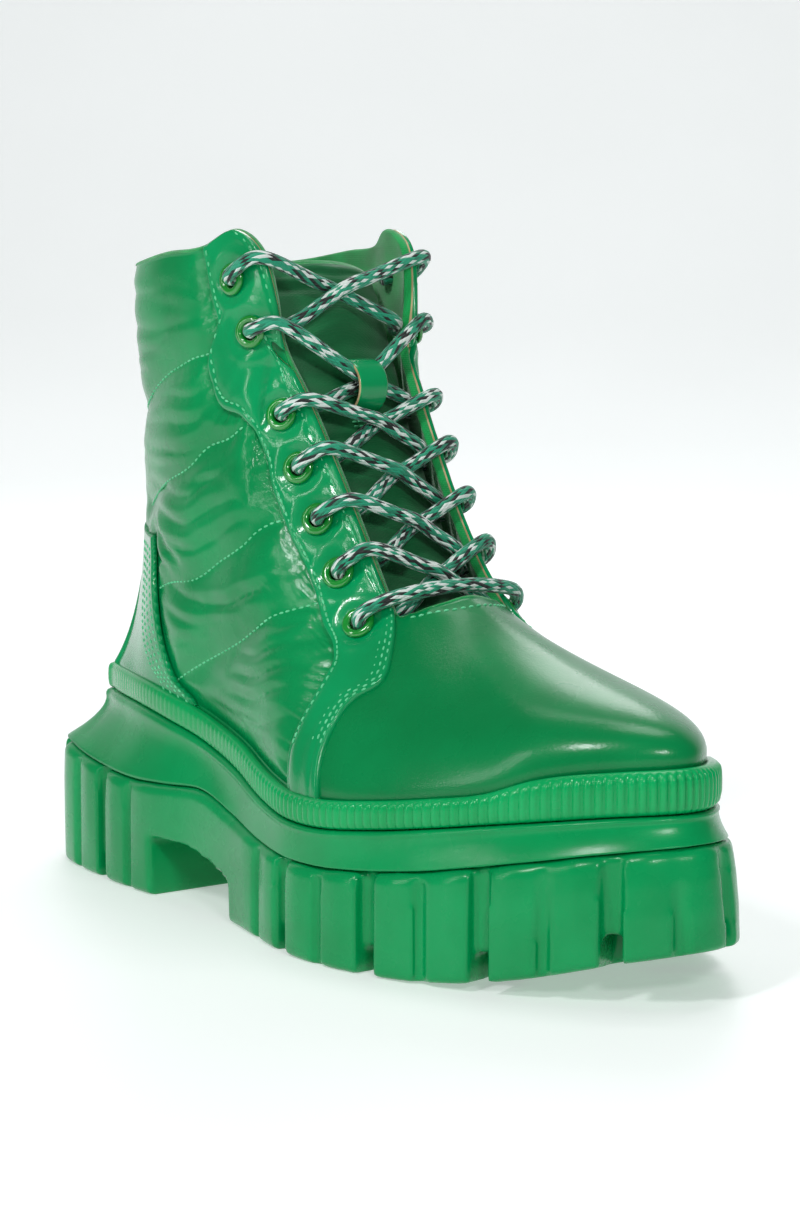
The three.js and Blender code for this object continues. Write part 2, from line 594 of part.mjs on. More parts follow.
// The last surface. rise runs from -1 at the feather line, 0 at the top of the rand, to 1 at the opening.
function last(lap, rise) {
  const foot = rim(lap, featherInset(lap));
  if (rise <= 0) {
    return new THREE.Vector3(foot.x, foot.y, mix(seatZ(lap) + GAP, randTop(lap), rise + 1));
  }
  const normal = soleNormal(lap);
  const start = new THREE.Vector3(foot.x, foot.y, randTop(lap));
  const end = new THREE.Vector3(
    LENGTH * (meridian("x", lap) - 0.5),
    SHAFT_SHIFT - (SHAFT_WIDTH / 2) * meridian("y", lap),
    BOOT_HEIGHT * meridian("z", lap),
  );
  const handle = (from, name) =>
    new THREE.Vector3(
      from.x + BOOT_HEIGHT * (meridian(name + "X", lap) + meridian(name + "Out", lap) * normal.x),
      from.y + BOOT_HEIGHT * meridian(name + "Out", lap) * normal.y,
      from.z + BOOT_HEIGHT * meridian(name + "Up", lap),
    );
  return new THREE.CubicBezierCurve3(start, handle(start, "foot"), handle(end, "head"), end).getPoint(rise);
}

function lastNormal(lap, rise) {
  const step = 0.01;
  const along = last(lap + step, rise).sub(last(lap - step, rise));
  const low = Math.max(rise - step, -1);
  const up = last(lap, Math.min(low + 2 * step, 1)).sub(last(lap, Math.min(low, 1 - 2 * step)));
  return along.cross(up).normalize();
}

// A point off the last surface, outwards where the offset is positive.
const lastPoint = (lap, rise, offset) => last(lap, rise).addScaledVector(lastNormal(lap, rise), offset);

// Lap and rise of the point that the side view shows at x and z, on the outer or the inner side.
function onLast(side, x, z) {
  const lapOf = (turn) => (side < 0 ? turn : 2 - turn);
  let turn = 0.5;
  let rise = 0.5;
  let best = Infinity;
  for (let i = 1; i < 16; i++) {
    for (let j = 0; j <= 10; j++) {
      const p = last(lapOf(i * 0.05), j * 0.1);
      const far = Math.hypot(p.x - x, p.z - z);
      if (far < best) {
        best = far;
        turn = i * 0.05;
        rise = j * 0.1;
      }
    }
  }
  const step = 0.002;
  for (let round = 0; round < 20; round++) {
    const p = last(lapOf(turn), rise);
    const across = last(lapOf(turn + step), rise).sub(p).divideScalar(step);
    const up = rise > 1 - step ? p.clone().sub(last(lapOf(turn), rise - step)) : last(lapOf(turn), rise + step).sub(p);
    up.divideScalar(step);
    const det = across.x * up.z - up.x * across.z;
    const dx = x - p.x;
    const dz = z - p.z;
    turn += 0.7 * ((dx * up.z - dz * up.x) / det);
    rise = Math.min(1, Math.max(0, rise + 0.7 * ((across.x * dz - across.z * dx) / det)));
  }
  return { lap: lapOf(turn), rise };
}

const sideX = (share) => LENGTH * (share - 0.5);
const sideZ = (share) => BOOT_HEIGHT * share;

// Frames of the eyelets: middle on the last surface and the outward normal.
function eyeletPlaces(side) {
  return EYELETS.map(({ x, z }) => {
    const { lap, rise } = onLast(side, sideX(x), sideZ(z));
    return { middle: last(lap, rise), normal: lastNormal(lap, rise) };
  });
}

function along(geometry, place, offset) {
  geometry.applyQuaternion(
    new THREE.Quaternion().setFromUnitVectors(new THREE.Vector3(0, 0, 1), place.normal),
  );
  const at = place.middle.clone().addScaledVector(place.normal, offset);
  geometry.translate(at.x, at.y, at.z);
  return geometry;
}

// Round holes through upper and eyestay, and the keyhole in the edge between the second and third eyelet.
function facingCuts(side) {
  const places = eyeletPlaces(side);
  const holes = places.map((place) => {
    const pin = new THREE.CylinderGeometry(EYELET_HOLE / 2, EYELET_HOLE / 2, CUTTER_REACH * 2, EYELET_SIDES);
    pin.rotateX(Math.PI / 2);
    return solid(along(pin, place, 0));
  });
  const edge = lastPoint(...edgeAt(side), 0);
  const slot = new THREE.BoxGeometry(NOTCH_DEPTH * 2, CUTTER_REACH * 4, NOTCH_WIDTH);
  slot.rotateY(NOTCH_TILT);
  slot.translate(edge.x, edge.y, edge.z);
  return joined([...holes, solid(slot)]);
}

// Lap and rise of the eyestay's edge where the keyhole is.
function edgeAt(side) {
  const { lap } = onLast(side, sideX(KEYHOLE.x), sideZ(KEYHOLE.z));
  return [lap, 1];
}

// How far up the meridians the rings of the faceted shells lie
const RISES = [-1, 0, 0.1, 0.24, 0.42, 0.6, 0.76, 0.9, 1];
const LINING_RISES = [-1, 0, 0.42, 0.76, 1];

// A shell round the last between two offsets, open at the top and underneath.
function shell(outside, inside, innerRises) {
  const laps = evenLaps(COLUMNS);
  const skin = new Skin();
  const ring = (rise, offset) => skin.ring(laps.map((lap) => lastPoint(lap, rise, offset)));
  const outer = RISES.map((rise) => ring(rise, outside));
  const inner = innerRises.map((rise) => ring(rise, inside)).reverse();
  outer.slice(1).forEach((high, k) => skin.wall(outer[k], high));
  skin.wall(outer[outer.length - 1], inner[0]);
  inner.slice(1).forEach((low, k) => skin.wall(inner[k], low, true));
  skin.wall(inner[inner.length - 1], outer[0]);
  return solid(skin.geometry());
}

function makeUpper() {
  const wall = shell(0, -UPPER_WALL, LINING_RISES);
  return geometryOf(wall.subtract(facingCuts(-1)).subtract(facingCuts(1)));
}

// A prism of a side view outline, between two places across the boot.
function sidePrism(outline, from, to) {
  const shape = new THREE.Shape(outline.map(([x, z]) => new THREE.Vector2(sideX(x), sideZ(z))));
  const prism = new THREE.ExtrudeGeometry(shape, { depth: to - from, bevelEnabled: false });
  prism.rotateX(Math.PI / 2);
  prism.translate(0, to, 0);
  return solid(prism);
}

// The layer on which eyestays and counter are cut out.
const overlayShell = shell(GAP + OVERLAY_WALL, GAP, RISES);

// Flat seats in the eyestay's face, one under each eyelet.
function eyeletSeats(side) {
  const height = EYELET_OUTER;
  const radius = EYELET_OUTER / 2 + GAP;
  return joined(
    eyeletPlaces(side).map((place) => {
      const seat = new THREE.CylinderGeometry(radius, radius, height, EYELET_SIDES);
      seat.rotateX(Math.PI / 2);
      return solid(along(seat, place, GAP + OVERLAY_WALL + height / 2));
    }),
  );
}

function makeEyestay(side) {
  const rear = EYESTAY.map((row) => [row.rearX, row.rearZ]);
  const front = EYESTAY.map((row) => [row.frontX, row.frontZ]).reverse();
  const reach = side * BALL_WIDTH;
  const outline = sidePrism([...rear, ...front], Math.min(SHAFT_SHIFT, reach), Math.max(SHAFT_SHIFT, reach));
  return geometryOf(overlayShell.intersect(outline).subtract(facingCuts(side)).subtract(eyeletSeats(side)));
}

function makeCounter() {
  const outline = sidePrism(COUNTER.map(({ x, z }) => [x, z]), -BALL_WIDTH, BALL_WIDTH);
  const floor = stack(evenLaps(COLUMNS), [
    { inset: () => -CUTTER_REACH, height: () => 0 },
    { inset: () => -CUTTER_REACH, height: (lap) => randTop(lap) + GAP },
  ]);
  return geometryOf(overlayShell.intersect(outline).subtract(solid(floor)));
}

function makeEyelet(place) {
  const outer = EYELET_OUTER / 2;
  const bore = EYELET_BORE / 2;
  const section = [
    [bore, 0],
    [outer, 0],
    [mix(bore, outer, 0.75), EYELET_THICKNESS],
    [bore, EYELET_THICKNESS * 0.7],
    [bore, 0],
  ].map(([x, y]) => new THREE.Vector2(x, y));
  const ring = new THREE.LatheGeometry(section, EYELET_SIDES);
  ring.rotateX(Math.PI / 2);
  return along(ring, place, GAP + OVERLAY_WALL + GAP);
}

// A plain tube along a smooth curve.
function tube(points, diameter, steps) {
  const shape = new THREE.Shape();
  shape.absarc(0, 0, diameter / 2, 0, Math.PI * 2);
  return solid(
    new THREE.ExtrudeGeometry(shape, {
      steps,
      curveSegments: 3,
      bevelEnabled: false,
      extrudePath: new THREE.CatmullRomCurve3(points),
    }),
  );
}

// Height of a strand's middle over the last surface, where it lies on the eyestay's edge and on an eyelet.
const edgeOffset = GAP * 2 + OVERLAY_WALL + LACE_DIAMETER / 2 + LACE_LIFT;
const laceOffset = edgeOffset + GAP + EYELET_THICKNESS;

// Middle line of the tongue's outer face at a share of its length.
function tongueFrame(share) {
  const place = share * (TONGUE.length - 1);
  const rows = TONGUE.map((row, i) => ({ ...row, i }));
  const at = (s) =>
    new THREE.Vector3(sideX(column(rows, "x", "i", s)), SHAFT_SHIFT, sideZ(column(rows, "z", "i", s)));
  const step = 0.02;
  const tangent = at(place + step).sub(at(place - step)).normalize();
  const normal = new THREE.Vector3(tangent.z, 0, -tangent.x);
  return {
    middle: at(place),
    tangent,
    normal,
    width: TONGUE_HALF_WIDTH * column(rows, "width", "i", place),
    body: TONGUE_THICKNESS * column(rows, "body", "i", place),
    bow: TONGUE_BOW * column(rows, "bow", "i", place),
  };
}

function makeTongue() {
  const steps = 11;
  const across = 6;
  const skin = new Skin();
  const rings = Array.from({ length: steps + 1 }, (_, k) => {
    const { middle, normal, width, body, bow } = tongueFrame(k / steps);
    const spot = (share, depth) =>
      middle
        .clone()
        .add(new THREE.Vector3(0, width * share, 0))
        .addScaledVector(normal, -bow * share * share - depth);
    const front = Array.from({ length: across + 1 }, (_, c) => spot(1 - (2 * c) / across, c % across ? 0 : (body * (1 - TONGUE_EDGE)) / 2));
    const back = Array.from({ length: across + 1 }, (_, c) => spot((2 * c) / across - 1, c % across ? body : (body * (1 + TONGUE_EDGE)) / 2));
    return skin.ring([...front, ...back].reverse());
  });
  for (let k = 1; k < rings.length; k++) skin.wall(rings[k - 1], rings[k]);
  skin.cap(rings[0], false);
  skin.cap(rings[rings.length - 1], true);
  return skin.geometry();
}

// Share of the tongue's length at which its middle line reaches a height.
function tongueShareAt(z) {
  let low = 0;
  let high = 1;
  for (let i = 0; i < 30; i++) {
    const middle = (low + high) / 2;
    if (tongueFrame(middle).middle.z < z) low = middle;
    else high = middle;
  }
  return (low + high) / 2;
}

function makeKeeper() {
  const { middle, tangent, normal } = tongueFrame(tongueShareAt(BOOT_HEIGHT * KEEPER_Z));
  const half = KEEPER_LENGTH / 2;
  const bulge = 4 / 3; // a cubic arc stands three quarters as high as its handles
  const handle = (KEEPER_CLEAR + KEEPER_WALL) * bulge;
  const innerHandle = KEEPER_CLEAR * bulge;
  const innerHalf = half - KEEPER_WALL;
  const shape = new THREE.Shape();
  shape.moveTo(-half, 0);
  shape.bezierCurveTo(-half, handle, half, handle, half, 0);
  shape.lineTo(innerHalf, 0);
  shape.bezierCurveTo(innerHalf, innerHandle, -innerHalf, innerHandle, -innerHalf, 0);
  const loop = new THREE.ExtrudeGeometry(shape, { depth: KEEPER_WIDTH, bevelEnabled: false, curveSegments: 8 });
  loop.translate(0, 0, -KEEPER_WIDTH / 2);
  const seat = middle.clone().addScaledVector(normal, KEEPER_SEAT);
  const sideways = new THREE.Vector3().crossVectors(tangent, normal);
  loop.applyMatrix4(new THREE.Matrix4().makeBasis(tangent, normal, sideways).setPosition(seat));
  return loop;
}

// The point of the facing's free edge straight in front of an eyelet.
function edgeBeside(side, row) {
  const here = eyeletPlaces(side);
  const line = here[Math.min(row + 1, EYELETS.length - 1)].middle.clone().sub(here[Math.max(row - 1, 0)].middle);
  line.y = 0;
  line.normalize();
  let best = null;
  for (let turn = 0.39; turn < 0.66; turn += 0.004) {
    const p = last(side < 0 ? turn : 2 - turn, 1);
    const off = Math.abs((p.x - here[row].middle.x) * line.x + (p.z - here[row].middle.z) * line.z);
    if (!best || off < best.off) best = { off, p };
  }
  return best.p;
}

// One strand: out over the eyestay at one eyelet, across the tongue and under the opposite edge lower down.
function strandPoints(side, upper, lower) {
  const out = eyeletPlaces(side)[upper];
  const under = eyeletPlaces(-side)[lower];
  const overEdge = edgeBeside(side, upper);
  const underEdge = edgeBeside(-side, lower);
  const start = out.middle.clone().addScaledVector(out.normal, laceOffset);
  const lift = overEdge.clone().addScaledVector(out.normal, edgeOffset);
  const end = underEdge.clone().addScaledVector(under.normal, -UPPER_WALL);
  end.y -= Math.sign(end.y - SHAFT_SHIFT) * (LACE_DIAMETER / 2 + LACE_CLEAR);
  const held = upper === KEEPER_ROW;
  const middle = lift.clone().add(end).multiplyScalar(0.5);
  middle.y = SHAFT_SHIFT;
  const frame = tongueFrame(tongueShareAt(held ? BOOT_HEIGHT * KEEPER_Z : middle.z));
  if (held) middle.copy(frame.middle);
  const stands = middle.clone().sub(frame.middle).dot(frame.normal);
  middle.addScaledVector(frame.normal, Math.max(0, LACE_DIAMETER / 2 + LACE_CLEAR - stands));
  return [start, lift, middle, end];
}

function makeCrossing(upper) {
  const strands = [-1, 1].map((side) => tube(strandPoints(side, upper, upper + 1), LACE_DIAMETER, 8));
  return geometryOf(joined(strands));
}

// The bar that joins the lowest pair of eyelets over the eyestays.
function makeBar() {
  const bottom = EYELETS.length - 1;
  const half = (side) => {
    const place = eyeletPlaces(side)[bottom];
    const start = place.middle.clone().addScaledVector(place.normal, laceOffset);
    const lift = edgeBeside(side, bottom).addScaledVector(place.normal, edgeOffset);
    return [start, lift];
  };
  const [left, right] = [half(-1), half(1)];
  const crown = left[1].clone().lerp(right[1], 0.5).add(new THREE.Vector3(BAR_CROWN_X, 0, BAR_CROWN_Z));
  return geometryOf(tube([left[0], left[1], crown, right[1], right[0]], LACE_DIAMETER, 8));
}

const boot = new THREE.Group();

function piece(name, geometry, finish) {
  const [color, roughness] = FINISH[finish];
  const mesh = new THREE.Mesh(geometry, new THREE.MeshStandardMaterial({ color, roughness, metalness: 0 }));
  mesh.name = name;
  boot.add(mesh);
}

piece("outsole", makeOutsole(), "outsole");
piece("midsole", makeMidsole(), "midsole");
piece("rand", makeRand(), "rand");
piece("insole", makeInsole(), "insole");
piece("upper", makeUpper(), "upper");
piece("heel_counter", makeCounter(), "overlay");
piece("tongue", makeTongue(), "tongue");
piece("lace_keeper", makeKeeper(), "tongue");
for (const [side, label] of [
  [-1, "lateral"],
  [1, "medial"],
]) {
  piece(`eyestay_${label}`, makeEyestay(side), "overlay");
  eyeletPlaces(side).forEach((place, i) => piece(`eyelet_${label}_${i + 1}`, makeEyelet(place), "eyelet"));
}
for (let k = 0; k < EYELETS.length - 1; k++) piece(`lace_crossing_${k + 1}`, makeCrossing(k), "lace");
piece("lace_bar", makeBar(), "lace");

// The origin lies under the middle of the whole boot, on the floor.
const bounds = new THREE.Box3().setFromObject(boot);
const centre = bounds.getCenter(new THREE.Vector3());
boot.position.set(-centre.x, -centre.y, -bounds.min.z);

export default boot;
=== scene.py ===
"""Looks of the lace-up puffer boot: one right boot on a lugged platform sole, in the CAD frame."""
import logging
import math
from dataclasses import dataclass, field
from enum import Enum
from typing import Any, ClassVar, Iterable, Sequence

import bmesh
import bpy
import numpy as np
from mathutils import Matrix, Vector


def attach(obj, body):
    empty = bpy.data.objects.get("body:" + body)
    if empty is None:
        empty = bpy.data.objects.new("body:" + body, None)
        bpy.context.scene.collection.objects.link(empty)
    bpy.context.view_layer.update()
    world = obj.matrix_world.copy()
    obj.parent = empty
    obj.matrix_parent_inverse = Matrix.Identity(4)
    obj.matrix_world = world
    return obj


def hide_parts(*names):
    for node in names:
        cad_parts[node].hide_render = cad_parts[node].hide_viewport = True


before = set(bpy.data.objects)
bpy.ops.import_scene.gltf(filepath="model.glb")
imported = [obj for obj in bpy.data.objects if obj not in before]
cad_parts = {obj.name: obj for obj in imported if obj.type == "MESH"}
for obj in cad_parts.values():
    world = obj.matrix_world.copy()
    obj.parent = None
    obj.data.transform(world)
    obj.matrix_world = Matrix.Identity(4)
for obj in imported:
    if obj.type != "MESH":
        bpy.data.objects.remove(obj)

LOG = logging.getLogger("boot")
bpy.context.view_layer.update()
Array = np.ndarray

MILLIMETRE = 0.001
ORIGIN = np.array([0.09, 0.17, 0.0])  # the CAD group's own shift, in millimetres
WAVE_PERIOD_MM = 314  # spacing of a wave texture's bands at a scale of 1


class Side(Enum):
    """Sides of the right boot, as the sign of Y."""

    OUTER = -1
    INNER = 1

    @property
    def node_word(self) -> str:
        """Word that the CAD nodes of this side carry."""
        return "lateral" if self is Side.OUTER else "medial"

    def lap(self, turn: "Array | float") -> "Array | float":
        """Lap on this side at a turn from the heel, 0, to the toe, 1."""
        return turn if self is Side.OUTER else 2 - turn


# Share of the length from the heel, then half widths on the outer and the inner side
OUTLINE = np.array([
    [0, -.035, .035], [.027, .526, .553], [.082, .66, .71], [.154, .72, .79], [.225, .76, .815],
    [.28, .763, .8], [.355, .742, .755], [.437, .795, .78], [.519, .905, .875], [.587, .985, .965],
    [.652, .992, 1], [.717, .93, .97], [.782, .83, .895], [.846, .705, .775], [.911, .52, .59],
    [.969, .28, .35], [1, -.035, .035]])

# Share of the length, then seat, spring, ridge, crest, lift and bumper as in the part's source
PROFILE = np.array([
    [0, .98, 0, 1.8, 0, .1, 0], [.06, .99, 0, 1.62, 0, 0, 0], [.14, 1, 0, 1.22, 0, 0, 0],
    [.235, .96, 0, 1, 0, 0, 0], [.303, .82, 0, 1.1, 0, 0, 0], [.365, .62, 0, 1.22, 0, 0, 0],
    [.43, .41, 0, .72, 0, 0, 0], [.485, .21, 0, .34, 0, 0, 0], [.543, .06, 0, .1, 0, 0, 0],
    [.62, 0, 0, 0, 0, 0, 0], [.717, 0, .19, 0, .14, 0, 0], [.772, 0, .36, 0, .3, .05, 0],
    [.833, 0, .57, 0, .55, .2, .1], [.877, 0, .71, 0, .74, .38, .8],
    [.952, 0, .92, 0, 1.05, .78, 1], [1, 0, 1, 0, 1.2, 1, 1]])
SEAT, SPRING, RIDGE, CREST, LIFT, BUMPER = range(6)

# Share of the length, then how far the rand stands inside the outline
SETBACK = np.array([
    [0, 1.1], [.05, 1.12], [.15, .8], [.27, .45], [.4, .25], [.55, .16], [.7, .17], [.85, .32],
    [.93, .44], [1, .52]])

# Turn from heel to toe, the opening's edge x y z, the foot handle and the head handle (x, out, up)
MERIDIANS = np.array([
    [0, .114, 0, .945, 0, -.075, .12, .05, .01, -.2],
    [.12, .137, .52, .946, .01, -.072, .125, .03, 0, -.2],
    [.23, .205, .89, .953, .02, -.05, .15, .005, -.005, -.2],
    [.3, .277, .98, .967, .03, 0, .2, 0, -.015, -.22],
    [.35, .336, .94, .976, .035, .01, .19, -.01, 0, -.22],
    [.385, .378, .82, 1, .035, .015, .18, -.03, .015, -.2],
    [.405, .404, .79, .984, .03, .015, .18, -.04, .02, -.19],
    [.425, .421, .75, .952, .03, .015, .17, -.045, .025, -.17],
    [.445, .43, .7, .897, .02, .01, .16, -.045, .03, -.15],
    [.47, .434, .635, .826, .01, .005, .14, -.045, .04, -.13],
    [.495, .462, .58, .762, 0, 0, .13, -.045, .045, -.12],
    [.52, .497, .545, .685, -.01, 0, .12, -.04, .04, -.11],
    [.555, .544, .52, .582, -.01, 0, .1, -.03, .03, -.09],
    [.585, .58, .53, .511, -.01, 0, .09, -.01, .025, -.065],
    [.615, .608, .55, .468, -.01, 0, .085, .01, .028, -.05],
    [.65, .618, .468, .468, -.01, 0, .085, .05, .03, -.05],
    [.7, .627, .364, .476, -.01, .008, .08, .09, .028, -.07],
    [.8, .635, .208, .484, 0, .012, .083, .168, .018, -.098],
    [.9, .638, .1, .489, 0, .018, .083, .208, .01, -.118],
    [1, .64, 0, .491, 0, .02, .083, .222, 0, -.124]])

EYELETS = [(.38, .928), (.408, .853), (.44, .734), (.469, .659), (.501, .588), (.538, .515), (.582, .449)]

# Middle line of the tongue's face: x, z, half width, thickness and bow
TONGUE = np.array([
    [.7, .41, .72, .45, .75], [.636, .438, .76, .5, .85], [.586, .474, .76, .7, .9],
    [.536, .56, .82, 1, .9], [.495, .65, .86, 1, .95], [.457, .735, .92, 1, 1],
    [.425, .825, 1, 1, 1.1], [.4, .9, 1.05, .95, 1.2], [.38, .958, 1, .6, 1.25]])


def smoothstep(low: float, high: float, value: Array) -> Array:
    """Ease from 0 at low to 1 at high.

    Args:
        low: Value at which the ease starts.
        high: Value at which it ends.
        value: Values, of any shape.

    Returns:
        Shares, of the same shape.
    """
    s = np.clip((np.asarray(value, float) - low) / (high - low), 0, 1)
    return s * s * (3 - 2 * s)


def unit(vectors: Array) -> Array:
    """Scale the vectors in the last axis to length one.

    Args:
        vectors: Vectors in the last axis.

    Returns:
        Vectors of length one.
    """
    return vectors / np.maximum(np.linalg.norm(vectors, axis=-1, keepdims=True), 1e-9)


def ripple(place: Array, wavelength: float, seed: int) -> Array:
    """Uneven wave along a line, from about -1 to 1.

    Args:
        place: Distances along the line.
        wavelength: Mean distance between crests.
        seed: Chooses the wave.

    Returns:
        The wave at each place.
    """
    phases = np.random.default_rng(seed).uniform(0, 2 * math.pi, 4)
    wave = np.zeros_like(np.asarray(place, float))
    for phase, (factor, weight) in zip(phases, ((1, .55), (.62, .35), (1.47, .3), (.31, .25))):
        wave += weight * np.sin(2 * math.pi * factor * place / wavelength + phase)
    return wave


def run_length(points: Array) -> Array:
    """Distance along a line from its first point to each point."""
    return np.concatenate([[0], np.cumsum(np.linalg.norm(np.diff(points, axis=0), axis=1))])


def bezier(s: Array, start: Array, first: Array, second: Array, end: Array) -> Array:
    """Cubic curve from start to end, drawn by two handles.

    Args:
        s: Shares of the curve, with a last axis of one.
        start: First point.
        first: Handle of the first point.
        second: Handle of the last point.
        end: Last point.

    Returns:
        Points at the shares.
    """
    return (1 - s)**3 * start + 3 * (1 - s)**2 * s * first + 3 * (1 - s) * s**2 * second + s**3 * end


class Table:
    """Cubic pieces through the columns of a table, as the part's source draws them."""

    def __init__(self, rows: Array) -> None:
        """Keep the places, the values and the slope at each row.

        Args:
            rows: Places in the first column, values in the others.
        """
        self.at = rows[:, 0].astype(float)
        self.values = rows[:, 1:].astype(float)
        step = np.diff(self.at)[:, None]
        secant = np.diff(self.values, axis=0) / step
        inner = (secant[:-1] * step[1:] + secant[1:] * step[:-1]) / (step[1:] + step[:-1])
        self.slopes = np.vstack([secant[:1], inner, secant[-1:]])

    def __call__(self, place: Array) -> Array:
        """Give every column at each place, in a new last axis.

        Args:
            place: Places, of any shape.

        Returns:
            Values, with the columns in the last axis.
        """
        place = np.asarray(place, float)
        i = np.clip(np.searchsorted(self.at, place, "left") - 1, 0, len(self.at) - 2)
        span = (self.at[i + 1] - self.at[i])[..., None]
        s = (place - self.at[i])[..., None] / span
        a, b = self.values[i], self.values[i + 1]
        return ((2 * s**3 - 3 * s**2 + 1) * a + (s**3 - 2 * s**2 + s) * span * self.slopes[i]
                + (3 * s**2 - 2 * s**3) * b + (s**3 - s**2) * span * self.slopes[i + 1])


@dataclass(frozen=True)
class Last:
    """The surfaces that every piece of the boot follows, in millimetres.

    A lap runs once round the boot: 0 at the heel, 1 at the toe by the outer side, 2 at the heel again.
    A rise runs from -1 at the feather line and 0 at the rand's top to 1 at the edge of the opening.
    """

    length: float = 293
    ball_width: float = 114
    height: float = 209.5
    shaft_width: float = 73
    shaft_shift: float = 1
    heel_seat: float = 58
    ball_seat: float = 39
    toe_spring: float = 13
    tread_lift: float = 15
    heel_ridge: float = 36
    ball_ridge: float = 28.5
    heel_flare: float = 14.5
    gap: float = .3
    rand_wall: float = 3
    rand_height: float = 8.6
    bumper_rise: float = 4
    tables: dict[str, Table] = field(default_factory=dict)

    def __post_init__(self) -> None:
        """Prepare the tables that the surfaces are read from."""
        outline = OUTLINE.copy()
        outline[:, 0] = np.arccos(1 - 2 * outline[:, 0]) / math.pi
        mirrored = MERIDIANS[1:-1][::-1].copy()
        mirrored[:, 0] = 2 - mirrored[:, 0]
        mirrored[:, 2] *= -1
        rows = np.vstack([MERIDIANS, mirrored])
        before, after = rows[-3:].copy(), rows[:3].copy()
        before[:, 0] -= 2
        after[:, 0] += 2
        self.tables.update(outline=Table(outline), profile=Table(PROFILE), setback=Table(SETBACK),
                           meridian=Table(np.vstack([before, rows, after])))

    def turn(self, lap: Array) -> Array:
        """Turn from the heel, 0, to the toe, 1, on either side."""
        wrapped = np.mod(lap, 2)
        return np.where(wrapped <= 1, wrapped, 2 - wrapped)

    def share(self, lap: Array) -> Array:
        """Share of the sole's length, from the heel."""
        return (1 - np.cos(math.pi * self.turn(lap))) / 2

    def edge(self, lap: Array) -> Array:
        """Outline of the sole in plan."""
        outer = np.mod(lap, 2) <= 1
        halves = self.tables["outline"](self.turn(lap)) * self.ball_width / 2
        across = np.where(outer, -halves[..., 0], halves[..., 1])
        return np.stack([self.length * (self.share(lap) - .5), across], -1)

    def edge_normal(self, lap: Array) -> Array:
        """Outward normal of the outline, over a span that turns evenly round the heel's corners."""
        span = .075
        along = unit(self.edge(np.asarray(lap) + span) - self.edge(np.asarray(lap) - span))
        return np.stack([along[..., 1], -along[..., 0]], -1)

    def rim(self, lap: Array, inset: Array) -> Array:
        """Outline of the sole, moved inwards."""
        return self.edge(lap) - self.edge_normal(lap) * np.asarray(inset)[..., None]

    def profile(self, column: int, lap: Array) -> Array:
        """One column of the sole's side view."""
        return self.tables["profile"](self.share(lap))[..., column]

    def seat(self, lap: Array) -> Array:
        """Height of the foot bed."""
        rise = (self.heel_seat - self.ball_seat) * self.profile(SEAT, lap)
        return self.ball_seat + rise + self.toe_spring * self.profile(SPRING, lap)

    def ridge(self, lap: Array) -> Array:
        """Height of the top of the lugs."""
        rise = (self.heel_ridge - self.ball_ridge) * self.profile(RIDGE, lap)
        return self.ball_ridge + rise + self.toe_spring * self.profile(CREST, lap)

    def tread(self, lap: Array) -> Array:
        """Height of the tread."""
        return self.tread_lift * np.maximum(0, self.profile(LIFT, lap))

    def rand_top(self, lap: Array) -> Array:
        """Height of the rand's top edge."""
        return self.seat(lap) + self.rand_height + self.bumper_rise * self.profile(BUMPER, lap)

    def rand_inset(self, lap: Array) -> Array:
        """How far the rand's face stands inside the outline."""
        return self.heel_flare * self.tables["setback"](self.share(lap))[..., 0]

    def feather_inset(self, lap: Array) -> Array:
        """How far the upper's foot stands inside the outline."""
        return self.rand_inset(lap) + self.rand_wall + self.gap

    def surface(self, lap: Array, rise: Array) -> Array:
        """Points of the last.

        Args:
            lap: Laps, of any shape.
            rise: Rises, of the same shape.

        Returns:
            Points, with x, y and z in the last axis.
        """
        lap, rise = np.broadcast_arrays(np.asarray(lap, float), np.asarray(rise, float))
        foot = self.rim(lap, self.feather_inset(lap))
        top = self.rand_top(lap)
        low = self.seat(lap) + self.gap
        m = self.tables["meridian"](np.mod(lap, 2))
        n = self.edge_normal(lap)
        start = np.concatenate([foot, top[..., None]], -1)
        end = np.stack([self.length * (m[..., 0] - .5), self.shaft_shift - self.shaft_width / 2 * m[..., 1],
                        self.height * m[..., 2]], -1)

        def handle(at: Array, x: Array, out: Array, up: Array) -> Array:
            """Move a point by one handle of the meridian."""
            return at + self.height * np.stack([x + out * n[..., 0], out * n[..., 1], up], -1)

        first = handle(start, m[..., 3], m[..., 4], m[..., 5])
        second = handle(end, m[..., 6], m[..., 7], m[..., 8])
        s = np.clip(rise, 0, 1)[..., None]
        curve = bezier(s, start, first, second, end)
        wall = np.concatenate([foot, (low + (top - low) * (rise + 1))[..., None]], -1)
        return np.where((rise <= 0)[..., None], wall, curve)

    def normal(self, lap: Array, rise: Array) -> Array:
        """Outward normal of the last.

        Args:
            lap: Laps, of any shape.
            rise: Rises, of the same shape.

        Returns:
            Vectors of length one.
        """
        lap, rise = np.broadcast_arrays(np.asarray(lap, float), np.asarray(rise, float))
        step = .01
        along = self.surface(lap + step, rise) - self.surface(lap - step, rise)
        low = np.maximum(rise - step, -1)
        above, below = np.minimum(low + 2 * step, 1), np.minimum(low, 1 - 2 * step)
        up = self.surface(lap, above) - self.surface(lap, below)
        return unit(np.cross(along, up))

    def offset(self, lap: Array, rise: Array, out: Array) -> Array:
        """Points at a distance off the last, outwards where it is positive."""
        return self.surface(lap, rise) + self.normal(lap, rise) * np.asarray(out, float)[..., None]

